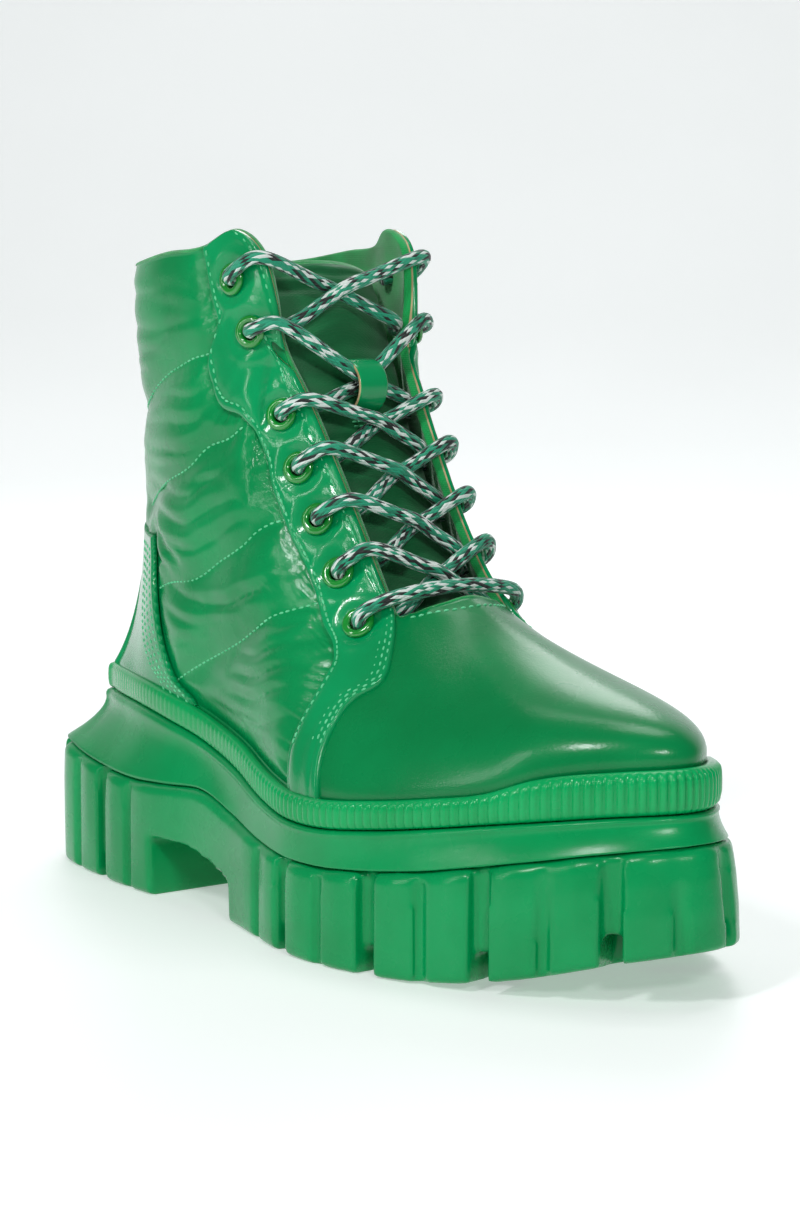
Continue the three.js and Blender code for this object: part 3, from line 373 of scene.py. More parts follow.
    def find(self, side: Side, x: float, z: float) -> tuple[float, float]:
        """Find the lap and rise that the side view shows at a place.

        Args:
            side: Side of the boot.
            x: Share of the length.
            z: Share of the height.

        Returns:
            Lap and rise.
        """
        goal = np.array([self.length * (x - .5), self.height * z])
        turn, rise, reach = .42, .5, .36
        for _ in range(9):
            turns = np.clip(np.linspace(turn - reach, turn + reach, 17), .005, .99)
            rises = np.clip(np.linspace(rise - reach * 1.4, rise + reach * 1.4, 17), 0, 1)
            grid = np.meshgrid(turns, rises, indexing="ij")
            laps = side.lap(grid[0])
            gap = np.linalg.norm(self.surface(laps, grid[1])[..., [0, 2]] - goal, axis=-1)
            i, j = np.unravel_index(np.argmin(gap), gap.shape)
            turn, rise, reach = turns[i], rises[j], reach * .42
        return side.lap(turn), rise

    def rise_at(self, lap: float, z: float) -> float:
        """Rise at which one meridian reaches a share of the height."""
        rises = np.linspace(0, 1, 200)
        return float(np.interp(z * self.height, self.surface(np.full(200, lap), rises)[:, 2], rises))

    def even_laps(self, start: float, stop: float, count: int) -> Array:
        """Laps at even steps along the sole's edge."""
        fine = np.linspace(start, stop, 1600)
        arc = run_length(self.edge(fine))
        return np.interp(np.linspace(0, arc[-1], count), arc, fine)


LAST = Last()


def srgb(code: str) -> tuple[float, float, float, float]:
    """Turn an sRGB hex colour to the linear colour that a shader takes."""
    parts = [int(code[i:i + 2], 16) / 255 for i in (1, 3, 5)]
    linear = [c / 12.92 if c <= .04045 else ((c + .055) / 1.055)**2.4 for c in parts]
    return (*linear, 1.0)


def add_node(tree: bpy.types.NodeTree, kind: str, settings: dict[str, Any] | None = None,
             **links: Any) -> bpy.types.Node:
    """Add a node with its settings and links.

    Args:
        tree: Node tree of the material.
        kind: Blender's name of the node's class.
        settings: Attributes, and socket values where the name is a socket's.
        **links: Sockets to plug in, by input name with _ for a space, or i0, i1 for an index.

    Returns:
        The node.
    """
    node = tree.nodes.new(kind)
    for name, value in (settings or {}).items():
        if isinstance(name, int) or name in node.inputs:
            node.inputs[name].default_value = value
        else:
            setattr(node, name, value)
    for name, socket in links.items():
        key = int(name[1:]) if name[0] == "i" and name[1:].isdigit() else name.replace("_", " ")
        tree.links.new(node.inputs[key], socket)
    return node


def maths(tree: bpy.types.NodeTree, operation: str,
          *terms: bpy.types.NodeSocket | float) -> bpy.types.NodeSocket:
    """Add a math node.

    Args:
        tree: Node tree of the material.
        operation: Blender's name of the operation.
        *terms: A socket or a number for each input, in order.

    Returns:
        The result's socket.
    """
    links = {f"i{k}": term for k, term in enumerate(terms) if isinstance(term, bpy.types.NodeSocket)}
    numbers = {k: term for k, term in enumerate(terms) if f"i{k}" not in links}
    return add_node(tree, "ShaderNodeMath", {"operation": operation, **numbers}, **links).outputs[0]


@dataclass(frozen=True)
class Finish:
    """A moulded, coated or woven surface, with two tones, a grain and worn relief."""

    name: str
    tone: str
    shade: str
    roughness: float
    coat: float = 0.0
    coat_roughness: float = .1
    sheen: float = 0.0
    specular: float = .5
    grain_mm: float = 1.0
    grain_height_mm: float = .05
    cloud_mm: float = 30
    rough_spread: float = .1
    glow: float = 0.0

    def build(self) -> bpy.types.Material:
        """Make the material.

        Returns:
            Material with colour clouds, uneven gloss and a fine relief.
        """
        material = bpy.data.materials.new(self.name)
        material.use_nodes = True
        tree = material.node_tree
        shader = tree.nodes["Principled BSDF"]
        place = add_node(tree, "ShaderNodeTexCoord").outputs["Object"]
        cloud = add_node(tree, "ShaderNodeTexNoise", {"Scale": 1000 / self.cloud_mm, "Detail": 3.0},
                         Vector=place)
        ramp = add_node(tree, "ShaderNodeValToRGB", Fac=cloud.outputs["Fac"])
        ramp.color_ramp.elements[0].position, ramp.color_ramp.elements[1].position = .36, .64
        ramp.color_ramp.elements[0].color = srgb(self.shade)
        ramp.color_ramp.elements[1].color = srgb(self.tone)
        gloss = add_node(tree, "ShaderNodeMapRange", {
            "To Min": self.roughness - self.rough_spread / 2,
            "To Max": self.roughness + self.rough_spread / 2},
            Value=add_node(tree, "ShaderNodeTexNoise", {"Scale": 2600 / self.cloud_mm, "Detail": 4.0},
                           Vector=place).outputs["Fac"])
        height = self.relief(tree, place)
        bump = add_node(tree, "ShaderNodeBump", {
            "Strength": 1.0, "Distance": self.grain_height_mm * MILLIMETRE}, Height=height)
        links = {"Base Color": self.colour(tree, place, ramp.outputs["Color"]),
                 "Roughness": gloss.outputs["Result"], "Normal": bump.outputs["Normal"],
                 "Coat Normal": bump.outputs["Normal"]}
        for name, socket in links.items():
            tree.links.new(shader.inputs[name], socket)
        values = {"Coat Weight": self.coat, "Coat Roughness": self.coat_roughness,
                  "Sheen Weight": self.sheen, "Specular IOR Level": self.specular,
                  "Emission Color": srgb(self.tone), "Emission Strength": self.glow}
        for name, value in values.items():
            shader.inputs[name].default_value = value
        material.diffuse_color = srgb(self.tone)
        return material

    def colour(self, tree: bpy.types.NodeTree, place: bpy.types.NodeSocket,
               base: bpy.types.NodeSocket) -> bpy.types.NodeSocket:
        """Colour of the surface; a finish with a pattern draws it here.

        Args:
            tree: Node tree of the material.
            place: Coordinates in metres.
            base: Colour of the clouds.

        Returns:
            Socket of the colour.
        """
        return base

    def relief(self, tree: bpy.types.NodeTree, place: bpy.types.NodeSocket) -> bpy.types.NodeSocket:
        """Height of the grain, from cells of the grain's size and a finer noise.

        Args:
            tree: Node tree of the material.
            place: Coordinates in metres.

        Returns:
            Socket of the height.
        """
        cells = add_node(tree, "ShaderNodeTexVoronoi", {"Scale": 1000 / self.grain_mm}, Vector=place)
        fine = add_node(tree, "ShaderNodeTexNoise", {"Scale": 2200 / self.grain_mm, "Detail": 3.0},
                        Vector=place)
        return maths(tree, "MULTIPLY_ADD", cells.outputs["Distance"], .5, fine.outputs["Fac"])


@dataclass(frozen=True)
class WovenFinish(Finish):
    """Cloth whose threads cross at a real spacing."""

    thread_mm: float = .6

    def relief(self, tree: bpy.types.NodeTree, place: bpy.types.NodeSocket) -> bpy.types.NodeSocket:
        """Height of the weave: two sets of bands, and fuzz over them.

        Args:
            tree: Node tree of the material.
            place: Coordinates in metres.

        Returns:
            Socket of the height.
        """
        heights = []
        for axis in ("X", "Z"):
            bands = add_node(tree, "ShaderNodeTexWave", {
                "bands_direction": axis, "Scale": WAVE_PERIOD_MM / self.thread_mm, "Distortion": .6,
                "Detail": 1.0}, Vector=place)
            heights.append(bands.outputs["Fac"])
        fuzz = add_node(tree, "ShaderNodeTexNoise", {"Scale": 3000 / self.thread_mm, "Detail": 2.0},
                        Vector=place)
        return maths(tree, "ADD", maths(tree, "MULTIPLY", *heights), fuzz.outputs["Fac"])


@dataclass(frozen=True)
class BraidFinish(Finish):
    """Round polyester braid: carriers cross in diamonds, with white and black flecks among the green."""

    carrier_mm: float = 1.25
    cell: float = 2.9
    steepness: float = 3.4
    white: str = "#dfeae4"
    black: str = "#0a1512"

    def diamonds(self, tree: bpy.types.NodeTree) -> tuple[bpy.types.NodeSocket, bpy.types.NodeSocket]:
        """Places along the two sets of carriers, from the tube's own coordinates in millimetres.

        Args:
            tree: Node tree of the material.

        Returns:
            One socket for each set, a whole number apart at each crossing.
        """
        uv = add_node(tree, "ShaderNodeTexCoord").outputs["UV"]
        parts = add_node(tree, "ShaderNodeSeparateXYZ", Vector=uv)
        sets = []
        for lean in (1, -1):
            slope = maths(tree, "MULTIPLY", parts.outputs["Y"], lean * self.steepness)
            total = maths(tree, "ADD", parts.outputs["X"], slope)
            sets.append(maths(tree, "DIVIDE", total, self.carrier_mm * self.cell))
        return sets[0], sets[1]

    def colour(self, tree: bpy.types.NodeTree, place: bpy.types.NodeSocket,
               base: bpy.types.NodeSocket) -> bpy.types.NodeSocket:
        """Green ground with white and black flecks, one tone for each diamond.

        Args:
            tree: Node tree of the material.
            place: Not used.
            base: Not used.

        Returns:
            Socket of the colour.
        """
        floors = [maths(tree, "FLOOR", socket) for socket in self.diamonds(tree)]
        cell = add_node(tree, "ShaderNodeCombineXYZ", X=floors[0], Y=floors[1])
        noise = add_node(tree, "ShaderNodeTexWhiteNoise", {"noise_dimensions": "2D"}, Vector=cell.outputs[0])
        pick = add_node(tree, "ShaderNodeValToRGB", Fac=noise.outputs["Value"])
        ramp = pick.color_ramp
        ramp.interpolation = "CONSTANT"
        ramp.elements[0].color = srgb(self.tone)
        ramp.elements[1].position, ramp.elements[1].color = .36, srgb(self.shade)
        for at, code in ((.56, self.white), (.78, self.black)):
            ramp.elements.new(at).color = srgb(code)
        return pick.outputs["Color"]

    def relief(self, tree: bpy.types.NodeTree, place: bpy.types.NodeSocket) -> bpy.types.NodeSocket:
        """Height of the diamonds, domed between their edges.

        Args:
            tree: Node tree of the material.
            place: Not used: the braid follows the tube.

        Returns:
            Socket of the height.
        """
        domes = []
        for place_along in self.diamonds(tree):
            wave = maths(tree, "SINE", maths(tree, "MULTIPLY", place_along, math.pi))
            domes.append(maths(tree, "ABSOLUTE", wave))
        return maths(tree, "MULTIPLY", *domes)


class Finishes:
    """Every finish of the boot, made once."""

    def __init__(self) -> None:
        """Make the materials."""
        # Nylon taffeta with a polyurethane coat: a wet gloss that breaks up on the puckers
        self.nylon = Finish("coated_nylon_taffeta", "#009352", "#008548", .27,
            coat=.4, coat_roughness=.07, specular=.14, grain_mm=.5, grain_height_mm=.03).build()
        # Corrected-grain leather with a patent film: smooth, glossy, with a faint orange peel
        self.patent = Finish("patent_finished_leather", "#00995a", "#008d50", .22,
            coat=.5, coat_roughness=.05, specular=.2, grain_mm=1.1, grain_height_mm=.035).build()
        # The same leather on the vamp, buffed to a satin gloss
        self.vamp = Finish("satin_finished_leather", "#008246", "#00783f", .28,
            coat=.28, coat_roughness=.12, specular=.16, grain_mm=1.0, grain_height_mm=.03).build()
        # Moulded thermoplastic rubber: satin skin with the mould's fine erosion
        self.rubber = Finish("moulded_rubber", "#009855", "#008c4c", .27,
            coat=.25, coat_roughness=.12, specular=.16, grain_mm=.45, grain_height_mm=.02).build()
        self.rand_rubber = Finish("ribbed_rand_rubber", "#00a65c", "#009a52", .25,
            coat=.3, coat_roughness=.1, specular=.2, grain_mm=.45, grain_height_mm=.02).build()
        # Undyed fibre where the leather is cut through
        self.cut = Finish("raw_cut_leather_edge", "#c9b48a", "#a48d62", .8, grain_mm=.4, grain_height_mm=.08,
                          cloud_mm=6).build()
        # Brushed polyester lining: no gloss, a soft pile at the rims
        self.lining = WovenFinish("brushed_polyester_lining", "#0aa552", "#068c42", .92, sheen=.5,
                                  grain_height_mm=.1, cloud_mm=8, specular=.25).build()
        # Nylon cloth of the tongue, less coated than the quarters
        self.tongue = WovenFinish("padded_nylon_cloth", "#00703c", "#006232", .5, sheen=.2, thread_mm=.5,
                                  grain_height_mm=.05, specular=.4).build()
        # Stoved enamel on brass rings: deep and wet, yellower than the leather
        self.enamel = Finish("stoved_enamel", "#068f2c", "#047f23", .16, coat=1.0, coat_roughness=.04,
                             grain_mm=2.0, grain_height_mm=.01, rough_spread=.04).build()
        # Bonded polyester thread: pale, with a dull shine
        self.thread = Finish("bonded_polyester_thread", "#66d69d", "#45bd80", .5, sheen=.2, grain_mm=.3,
                             grain_height_mm=.05, cloud_mm=4).build()
        self.braid = BraidFinish("flecked_polyester_braid", "#0f9a74", "#0a7c5c", .62, sheen=.25,
                                 grain_height_mm=.25).build()
        # Foam-backed sock of the foot bed
        self.sock = WovenFinish("foam_backed_sock", "#0a8a4c", "#087a42", .9, thread_mm=.9,
                                grain_height_mm=.1).build()
        # Painted studio floor
        self.floor = Finish("painted_studio_floor", "#dde0e0", "#d9dcdc", .5, grain_mm=3, grain_height_mm=.02,
                            cloud_mm=400, glow=.5).build()


class Gather:
    """Points and faces of one mesh, gathered grid by grid in millimetres."""

    def __init__(self) -> None:
        """Start empty."""
        self.points: list[Array] = []
        self.faces: list[Array] = []
        self.slots: list[Array] = []
        self.count = 0

    def add(self, points: Array) -> Array:
        """Add points and give their indices in the same shape."""
        flat = points.reshape(-1, 3)
        self.points.append(flat)
        index = np.arange(self.count, self.count + len(flat)).reshape(points.shape[:-1])
        self.count += len(flat)
        return index

    def grid(self, index: Array, slot: int | Array = 0, wrap: bool = False,
             keep: Array | None = None) -> None:
        """Add the faces of a grid of indices.

        Args:
            index: Indices, rows by columns.
            slot: Material slot of the faces, one or an array of one for each.
            wrap: Join the last column to the first.
            keep: True for each face that stays.
        """
        if wrap:
            index = np.concatenate([index, index[:, :1]], 1)
        quads = np.stack([index[:-1, :-1], index[:-1, 1:], index[1:, 1:], index[1:, :-1]], -1)
        slots = np.broadcast_to(slot, quads.shape[:2])
        mask = np.ones(quads.shape[:2], bool) if keep is None else keep
        self.faces.append(quads[mask])
        self.slots.append(slots[mask])

    def slab(self, outer: Array, inner: Array, slot: int | Array = 0, edge_slot: int = 0,
             keep: Array | None = None) -> None:
        """Add a closed sheet between two grids of points of one shape.

        Args:
            outer: Rows by columns of points.
            inner: The same number of points, on the other face.
            slot: Material slot of the faces, one or an array.
            edge_slot: Material slot of the edges.
            keep: True for each face that stays.
        """
        top, low = self.add(outer), self.add(inner)
        self.grid(top, slot, keep=keep)
        self.grid(low[:, ::-1], slot if np.isscalar(slot) else np.asarray(slot)[:, ::-1],
                  keep=None if keep is None else keep[:, ::-1])
        for a, b in ((top[0], low[0]), (low[-1], top[-1]), (low[:, 0], top[:, 0]), (top[:, -1], low[:, -1])):
            self.grid(np.stack([b, a]), edge_slot)

    def finish(self, name: str, materials: Sequence[bpy.types.Material], uv: Array | None = None,
               merge_mm: float = 0.0) -> bpy.types.Object:
        """Make the mesh object.

        Args:
            name: Name of the piece.
            materials: One for each slot.
            uv: Coordinates of each point, where the material needs them.
            merge_mm: Points nearer than this are joined.

        Returns:
            The object, linked to the scene, in metres.
        """
        points = (np.concatenate(self.points) + ORIGIN) * MILLIMETRE
        faces = np.concatenate(self.faces)
        mesh = bpy.data.meshes.new(name)
        mesh.from_pydata(points.tolist(), [], faces.tolist())
        mesh.polygons.foreach_set("material_index", np.concatenate(self.slots).astype(np.int32))
        if uv is not None:
            layer = mesh.uv_layers.new(name="along")
            loops = np.empty(len(mesh.loops), np.int32)
            mesh.loops.foreach_get("vertex_index", loops)
            layer.data.foreach_set("uv", uv[loops].astype(np.float32).ravel())
        work = bmesh.new()
        work.from_mesh(mesh)
        if merge_mm:
            bmesh.ops.remove_doubles(work, verts=work.verts, dist=merge_mm * MILLIMETRE)
        bmesh.ops.dissolve_degenerate(work, edges=work.edges, dist=1e-7)
        loose = [v for v in work.verts if not v.link_faces]
        bmesh.ops.delete(work, geom=loose, context="VERTS")
        bmesh.ops.recalc_face_normals(work, faces=work.faces)
        work.to_mesh(mesh)
        work.free()
        mesh.polygons.foreach_set("use_smooth", np.ones(len(mesh.polygons), bool))
        for material in materials:
            mesh.materials.append(material)
        piece = bpy.data.objects.new(name, mesh)
        bpy.context.scene.collection.objects.link(piece)
        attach(piece, "root")
        return piece


def report(piece: bpy.types.Object, slot: str, *nodes: str) -> bpy.types.Object:
    """Let a piece replace its CAD nodes, and log it.

    Args:
        piece: The piece.
        slot: Not used.
        *nodes: CAD nodes that it replaces.

    Returns:
        The same piece.
    """
    if nodes:
        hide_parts(*nodes)
    LOG.info("%s: %d faces", piece.name, len(piece.data.polygons))
    return piece


@dataclass
class Line:
    """A line on the last, sampled about every millimetre."""

    laps: Array
    rises: Array

    def __post_init__(self) -> None:
        """Measure the line."""
        self.points = LAST.surface(self.laps, self.rises)
        self.arc = run_length(self.points)

    @classmethod
    def through(cls, places: Sequence[tuple[float, float]], samples: int = 90) -> "Line":
        """Smooth line through places given as lap and rise.

        Args:
            places: Laps and rises.
            samples: Points along the line.

        Returns:
            The line.
        """
        rows = np.array(places, float)
        at = run_length(LAST.surface(rows[:, 0], rows[:, 1]))
        table = Table(np.column_stack([at, rows]))
        values = table(np.linspace(0, at[-1], samples))
        return cls(values[:, 0], np.minimum(values[:, 1], 1))

    @classmethod
    def side_view(cls, side: Side, places: Sequence[tuple[float, float]], samples: int = 90,
                  heel: float | None = None) -> "Line":
        """Smooth line through places of the side view, from the heel's middle at a height if one is given.

        Args:
            side: Side of the boot.
            places: Shares of length and height.
            samples: Points along the line.
            heel: Share of the height at the heel's middle.

        Returns:
            The line.
        """
        found = [LAST.find(side, x, z) for x, z in places]
        if heel is not None:
            middle = 0.0 if side is Side.OUTER else 2.0
            found.insert(0, (middle, LAST.rise_at(0, heel)))
        return cls.through(found, samples)

    def near(self, points: Array) -> tuple[Array, Array]:
        """Distance to the line and place along it, for many points.

        Args:
            points: Points, of any shape.

        Returns:
            Distances, and places along the line.
        """
        flat = points.reshape(-1, 3)
        square = (flat**2).sum(1)[:, None] - 2 * flat @ self.points.T + (self.points**2).sum(1)[None]
        index = square.argmin(1)
        gap = np.sqrt(np.maximum(square[np.arange(len(flat)), index], 0))
        return gap.reshape(points.shape[:-1]), self.arc[index].reshape(points.shape[:-1])

    def at(self, pitch: float, start: float = 0.0) -> tuple[Array, Array]:
        """Laps and rises at even steps along the line.

        Args:
            pitch: Step in millimetres.
            start: Length left out at each end.

        Returns:
            Laps and rises.
        """
        places = np.arange(start, self.arc[-1] - start, pitch)
        return np.interp(places, self.arc, self.laps), np.interp(places, self.arc, self.rises)


@dataclass
class Stitches:
    """Rows of thread, each stitch a small capsule that dips at its ends."""

    name: str
    pitch: float = 2.5
    length: float = 1.75
    radius: float = .35
    gather: Gather = field(default_factory=Gather)

    def row(self, points: Array, normals: Array) -> None:
        """Add a stitch at each point but the last, towards the next.

        Args:
            points: Middle line of the row, at the pitch.
            normals: Outward normals there.
        """
        along = unit(np.diff(points, axis=0))
        middle, up = points[:-1], unit(normals[:-1])
        across = unit(np.cross(along, up))
        places = np.array([-1, -.8, -.3, .3, .8, 1])
        widths = np.array([.15, .75, 1, 1, .75, .15])
        rings = []
        for place, width in zip(places, widths):
            centre = middle + along * (place * self.length / 2) - up * (.3 * place**4)
            angles = np.linspace(0, 2 * math.pi, 7)[:-1]
            rings.append(np.stack([centre + self.radius * width * (math.cos(a) * across + math.sin(a) * up)
                                   for a in angles], 1))
        tube = np.stack(rings, 1)
        for one in tube:
            index = self.gather.add(one)
            self.gather.grid(index, wrap=True)
            for ring in (index[0], index[-1][::-1]):
                self.gather.grid(np.array([[ring[0], ring[1], ring[2]], [ring[5], ring[4], ring[3]]]))

    def on_last(self, line: Line, out: float) -> None:
        """Add a row along a line of the last, at a height over it.

        Args:
            line: Line on the last.
            out: Height over it.
        """
        laps, rises = line.at(self.pitch)
        self.row(LAST.offset(laps, rises, np.full(len(laps), out)), LAST.normal(laps, rises))


def eyelet_frames(side: Side) -> list[tuple[Array, Array]]:
    """Middle and outward normal of each eyelet on the last, from the top down.

    Args:
        side: Side of the boot.

    Returns:
        Middle and normal of each eyelet.
    """
    frames = []
    for x, z in EYELETS:
        lap, rise = LAST.find(side, x, z)
        frames.append((LAST.surface(lap, rise), LAST.normal(lap, rise)))
    return frames


FRAMES = {side: eyelet_frames(side) for side in Side}


def clear_of_eyelets(points: Array, side: Side, radius: float) -> Array:
    """Say for each face of a grid of points whether it stays clear of the eyelets' holes.

    Args:
        points: Rows by columns of points.
        side: Side of the boot.
        radius: Distance kept clear round each middle.

    Returns:
        True for each face that stays.
    """
    middles = (points[:-1, :-1] + points[1:, 1:] + points[:-1, 1:] + points[1:, :-1]) / 4
    keep = np.ones(middles.shape[:2], bool)
    for centre, normal in FRAMES[side]:
        arm = middles - centre
        height = (arm * normal).sum(-1)
        across = np.linalg.norm(arm - height[..., None] * normal, axis=-1)
        keep &= (across > radius) | (np.abs(height) > 9)
    return keep


@dataclass
class Eyestay:
    """Leather facing with the eyelets, from the collar down to the rand."""

    side: Side
    finishes: Finishes
    thickness: float = 1.55
    rows: int = 250
    columns: int = 46
    notch_depth: float = 6.5
    notch_width: float = 2.6
    rear_stitch: float = 1.6
    front_stitch: float = 3.4
    edge_round: float = 1.1
    edge_wall: float = .2
    buried: float = .35
    bore: float = 3.0

    # Rear edge in the side view, and the front edge across from it: a turn of the free edge, or a place
    PAIRS: ClassVar[list] = [
        ((.338, .976), .385), ((.345, .93), .41), ((.352, .887), .43), ((.357, .85), .448),
        ((.347, .816), .462), ((.355, .768), .472), ((.371, .741), .485), ((.405, .728), .495),
        ((.423, .691), .508), ((.449, .624), .53), ((.477, .568), .552), ((.52, .497), .583),
        ((.546, .448), .612), ((.57, .418), (.634, .419)), ((.579, .397), (.649, .385)),
        ((.579, .362), (.631, .357)), ((.573, .312), (.624, .322)), ((.57, .262), (.626, .265))]

    def __post_init__(self) -> None:
        """Find both edges on the last."""
        rear, front = [], []
        for back, fore in self.PAIRS:
            rear.append(LAST.find(self.side, *back))
            if isinstance(fore, tuple):
                front.append(LAST.find(self.side, *fore))
            else:
                front.append((self.side.lap(fore), 1.0))
        rear.append((rear[-1][0], -.1))
        front.append((front[-1][0], -.1))
        middle = (np.array(rear) + np.array(front)) / 2
        at = run_length(LAST.surface(middle[:, 0], middle[:, 1]))
        self.length = at[-1]
        self.rear = Table(np.column_stack([at, rear]))
        self.front = Table(np.column_stack([at, front]))
        notch = LAST.find(self.side, .44, .815)
        fine = np.linspace(0, self.length, 600)
        edge = LAST.surface(self.front(fine)[:, 0], np.minimum(self.front(fine)[:, 1], 1))
        self.notch_at = fine[np.linalg.norm(edge - LAST.surface(*notch), axis=1).argmin()]

    def place(self, down: Array, across: Array) -> tuple[Array, Array]:
        """Lap and rise at a distance from the top and a share from rear to front.

        Args:
            down: Distances from the top.
            across: Shares from the rear edge to the front.

        Returns:
            Laps and rises.
        """
        rear, front = self.rear(down), self.front(down)
        front[..., 1] = np.minimum(front[..., 1], 1)
        rear[..., 1] = np.minimum(rear[..., 1], 1)
        width = np.linalg.norm(LAST.surface(rear[..., 0], rear[..., 1])
                               - LAST.surface(front[..., 0], front[..., 1]), axis=-1)
        dip = self.notch_depth * np.exp(-(np.abs(down - self.notch_at) / self.notch_width)**3)
        front = front + (rear - front) * (dip / width)[..., None]
        both = rear + (front - rear) * np.asarray(across)[..., None]
        return both[..., 0], both[..., 1]

    def width(self, down: Array) -> Array:
        """Width of the facing at distances from the top."""
        a, b = self.place(down, np.zeros_like(down)), self.place(down, np.ones_like(down))
        return np.linalg.norm(LAST.surface(*a) - LAST.surface(*b), axis=-1)

    def build(self, stitches: Stitches) -> bpy.types.Object:
        """Make the facing and add its rows of stitches.

        Args:
            stitches: Gathers the thread.

        Returns:
            The piece.
        """
        down = np.linspace(0, self.length, self.rows)
        share = (1 - np.cos(np.linspace(0, math.pi, self.columns))) / 2
        grid_down, grid_share = np.meshgrid(down, share, indexing="ij")
        lap, rise = self.place(grid_down, grid_share)
        width = self.width(down)[:, None]
        inside = np.minimum(np.minimum(grid_share, 1 - grid_share) * width, grid_down + .02)
        round_edge = np.sqrt(np.maximum(0, 1 - (1 - np.clip(inside / self.edge_round, 0, 1))**2))
        points = LAST.surface(lap, rise)
        height = self.edge_wall + (self.thickness - self.edge_wall) * round_edge
        height += .22 * np.exp(-((inside - 4.6) / 2.4)**2)
        for share_in, inset in ((grid_share, self.rear_stitch), (1 - grid_share, self.front_stitch)):
            height -= .22 * np.exp(-((share_in * width - inset) / .8)**2)
        for k, (centre, _) in enumerate(FRAMES[self.side]):
            gap = np.linalg.norm(points - centre, axis=-1)
            angle = np.arctan2(points[..., 2] - centre[2], points[..., 0] - centre[0])
            height -= .55 * np.exp(-((gap - 4.6) / 1.9)**2)
            height += (.28 + .12 * np.sin(3 * angle + k)) * np.exp(-((gap - 8.6) / 1.7)**2)
        height += .1 * ripple(grid_down, 9, 5) * np.clip(inside / 4, 0, 1)
        outer = points + LAST.normal(lap, rise) * height[..., None]
        inner = LAST.offset(lap, rise, np.full_like(lap, -self.buried))
        gather = Gather()
        keep = clear_of_eyelets(points, self.side, self.bore)
        gather.slab(outer, inner, 0, 1, keep)
        piece = gather.finish(f"facing_{self.side.name.lower()}", [self.finishes.patent, self.finishes.cut])
        rows = ((self.rear_stitch, 2, True), (self.front_stitch, 3, False),
                (1.5, .64 * self.length, False), (5.3, .66 * self.length, False))
        for inset, start, rear in rows:
            path = np.arange(start, self.length - 12, stitches.pitch)
            across = inset / self.width(path)
            laps, rises = self.place(path, across if rear else 1 - across)
            stitches.row(LAST.offset(laps, rises, np.full(len(path), self.thickness - .05)),
                         LAST.normal(laps, rises))
        return report(piece, "overlay", f"eyestay_{self.side.node_word}")


@dataclass
class Counter:
    """Leather heel counter with four rows of stitches along its front edges."""

    finishes: Finishes
    thickness: float = 1.5
    top_z: float = .573
    rows: int = 90
    columns: int = 210
    insets: tuple[float, ...] = (1.7, 4.2, 6.7, 9.2)
    buried: float = .35

    # Front edge in the side view
    EDGE: ClassVar[list] = [(.32, .27), (.283, .33), (.25, .385), (.228, .46), (.222, .505), (.212, .536)]

    def build(self, stitches: Stitches) -> bpy.types.Object:
        """Make the counter and its stitches.

        Args:
            stitches: Gathers the thread.

        Returns:
            The piece.
        """
        found = np.array([LAST.find(Side.OUTER, x, z) for x, z in self.EDGE])
        found = np.vstack([[found[0][0] + .004, -.1], found])
        down = np.linspace(0, 1, len(found))
        edge = Table(np.column_stack([down, found]))
        middle_top = LAST.rise_at(0, self.top_z)
        v = np.linspace(0, 1, self.rows)
        w = np.sin(np.linspace(-1, 1, self.columns) * math.pi / 2)

        def place(v_index: Array, w_value: Array) -> tuple[Array, Array]:
            """Lap and rise at a share of the height and a share across."""
            line = edge(v_index)
            middle = -.1 + (middle_top + .1) * v_index**.92
            blend = np.abs(w_value)**1.6
            return np.mod(line[..., 0] * w_value, 2), middle + (line[..., 1] - middle) * blend

        grid_v, grid_w = np.meshgrid(v, w, indexing="ij")
        lap, rise = place(grid_v, grid_w)
        points = LAST.surface(lap, rise)
        edge_points = np.concatenate([points[:, 0], points[-1], points[:, -1]])
        gap = np.min(np.linalg.norm(points[:, :, None, :] - edge_points[None, None, ::3], axis=-1), axis=2)
        height = .15 + (self.thickness - .15) * np.sqrt(np.maximum(0, 1 - (1 - np.clip(gap / 1.2, 0, 1))**2))
        outer = points + LAST.normal(lap, rise) * height[..., None]
        inner = LAST.offset(lap, rise, np.full_like(lap, -self.buried))
        gather = Gather()
        gather.slab(outer, inner)
        piece = gather.finish("heel_leather", [self.finishes.patent])
        share = np.linspace(.17, .97, 200)
        width = np.linalg.norm(LAST.surface(*place(share, np.zeros(200)))
                               - LAST.surface(*place(share, np.ones(200))), axis=-1)
        for inset in self.insets:
            for sign in (-1, 1):
                laps, rises = place(share, sign * (1 - inset / np.maximum(width, 20)))
                line = Line(np.where(laps > 1, laps - 2, laps), rises)
                stitches.on_last(line, self.thickness - .05)
        return report(piece, "overlay", "heel_counter")


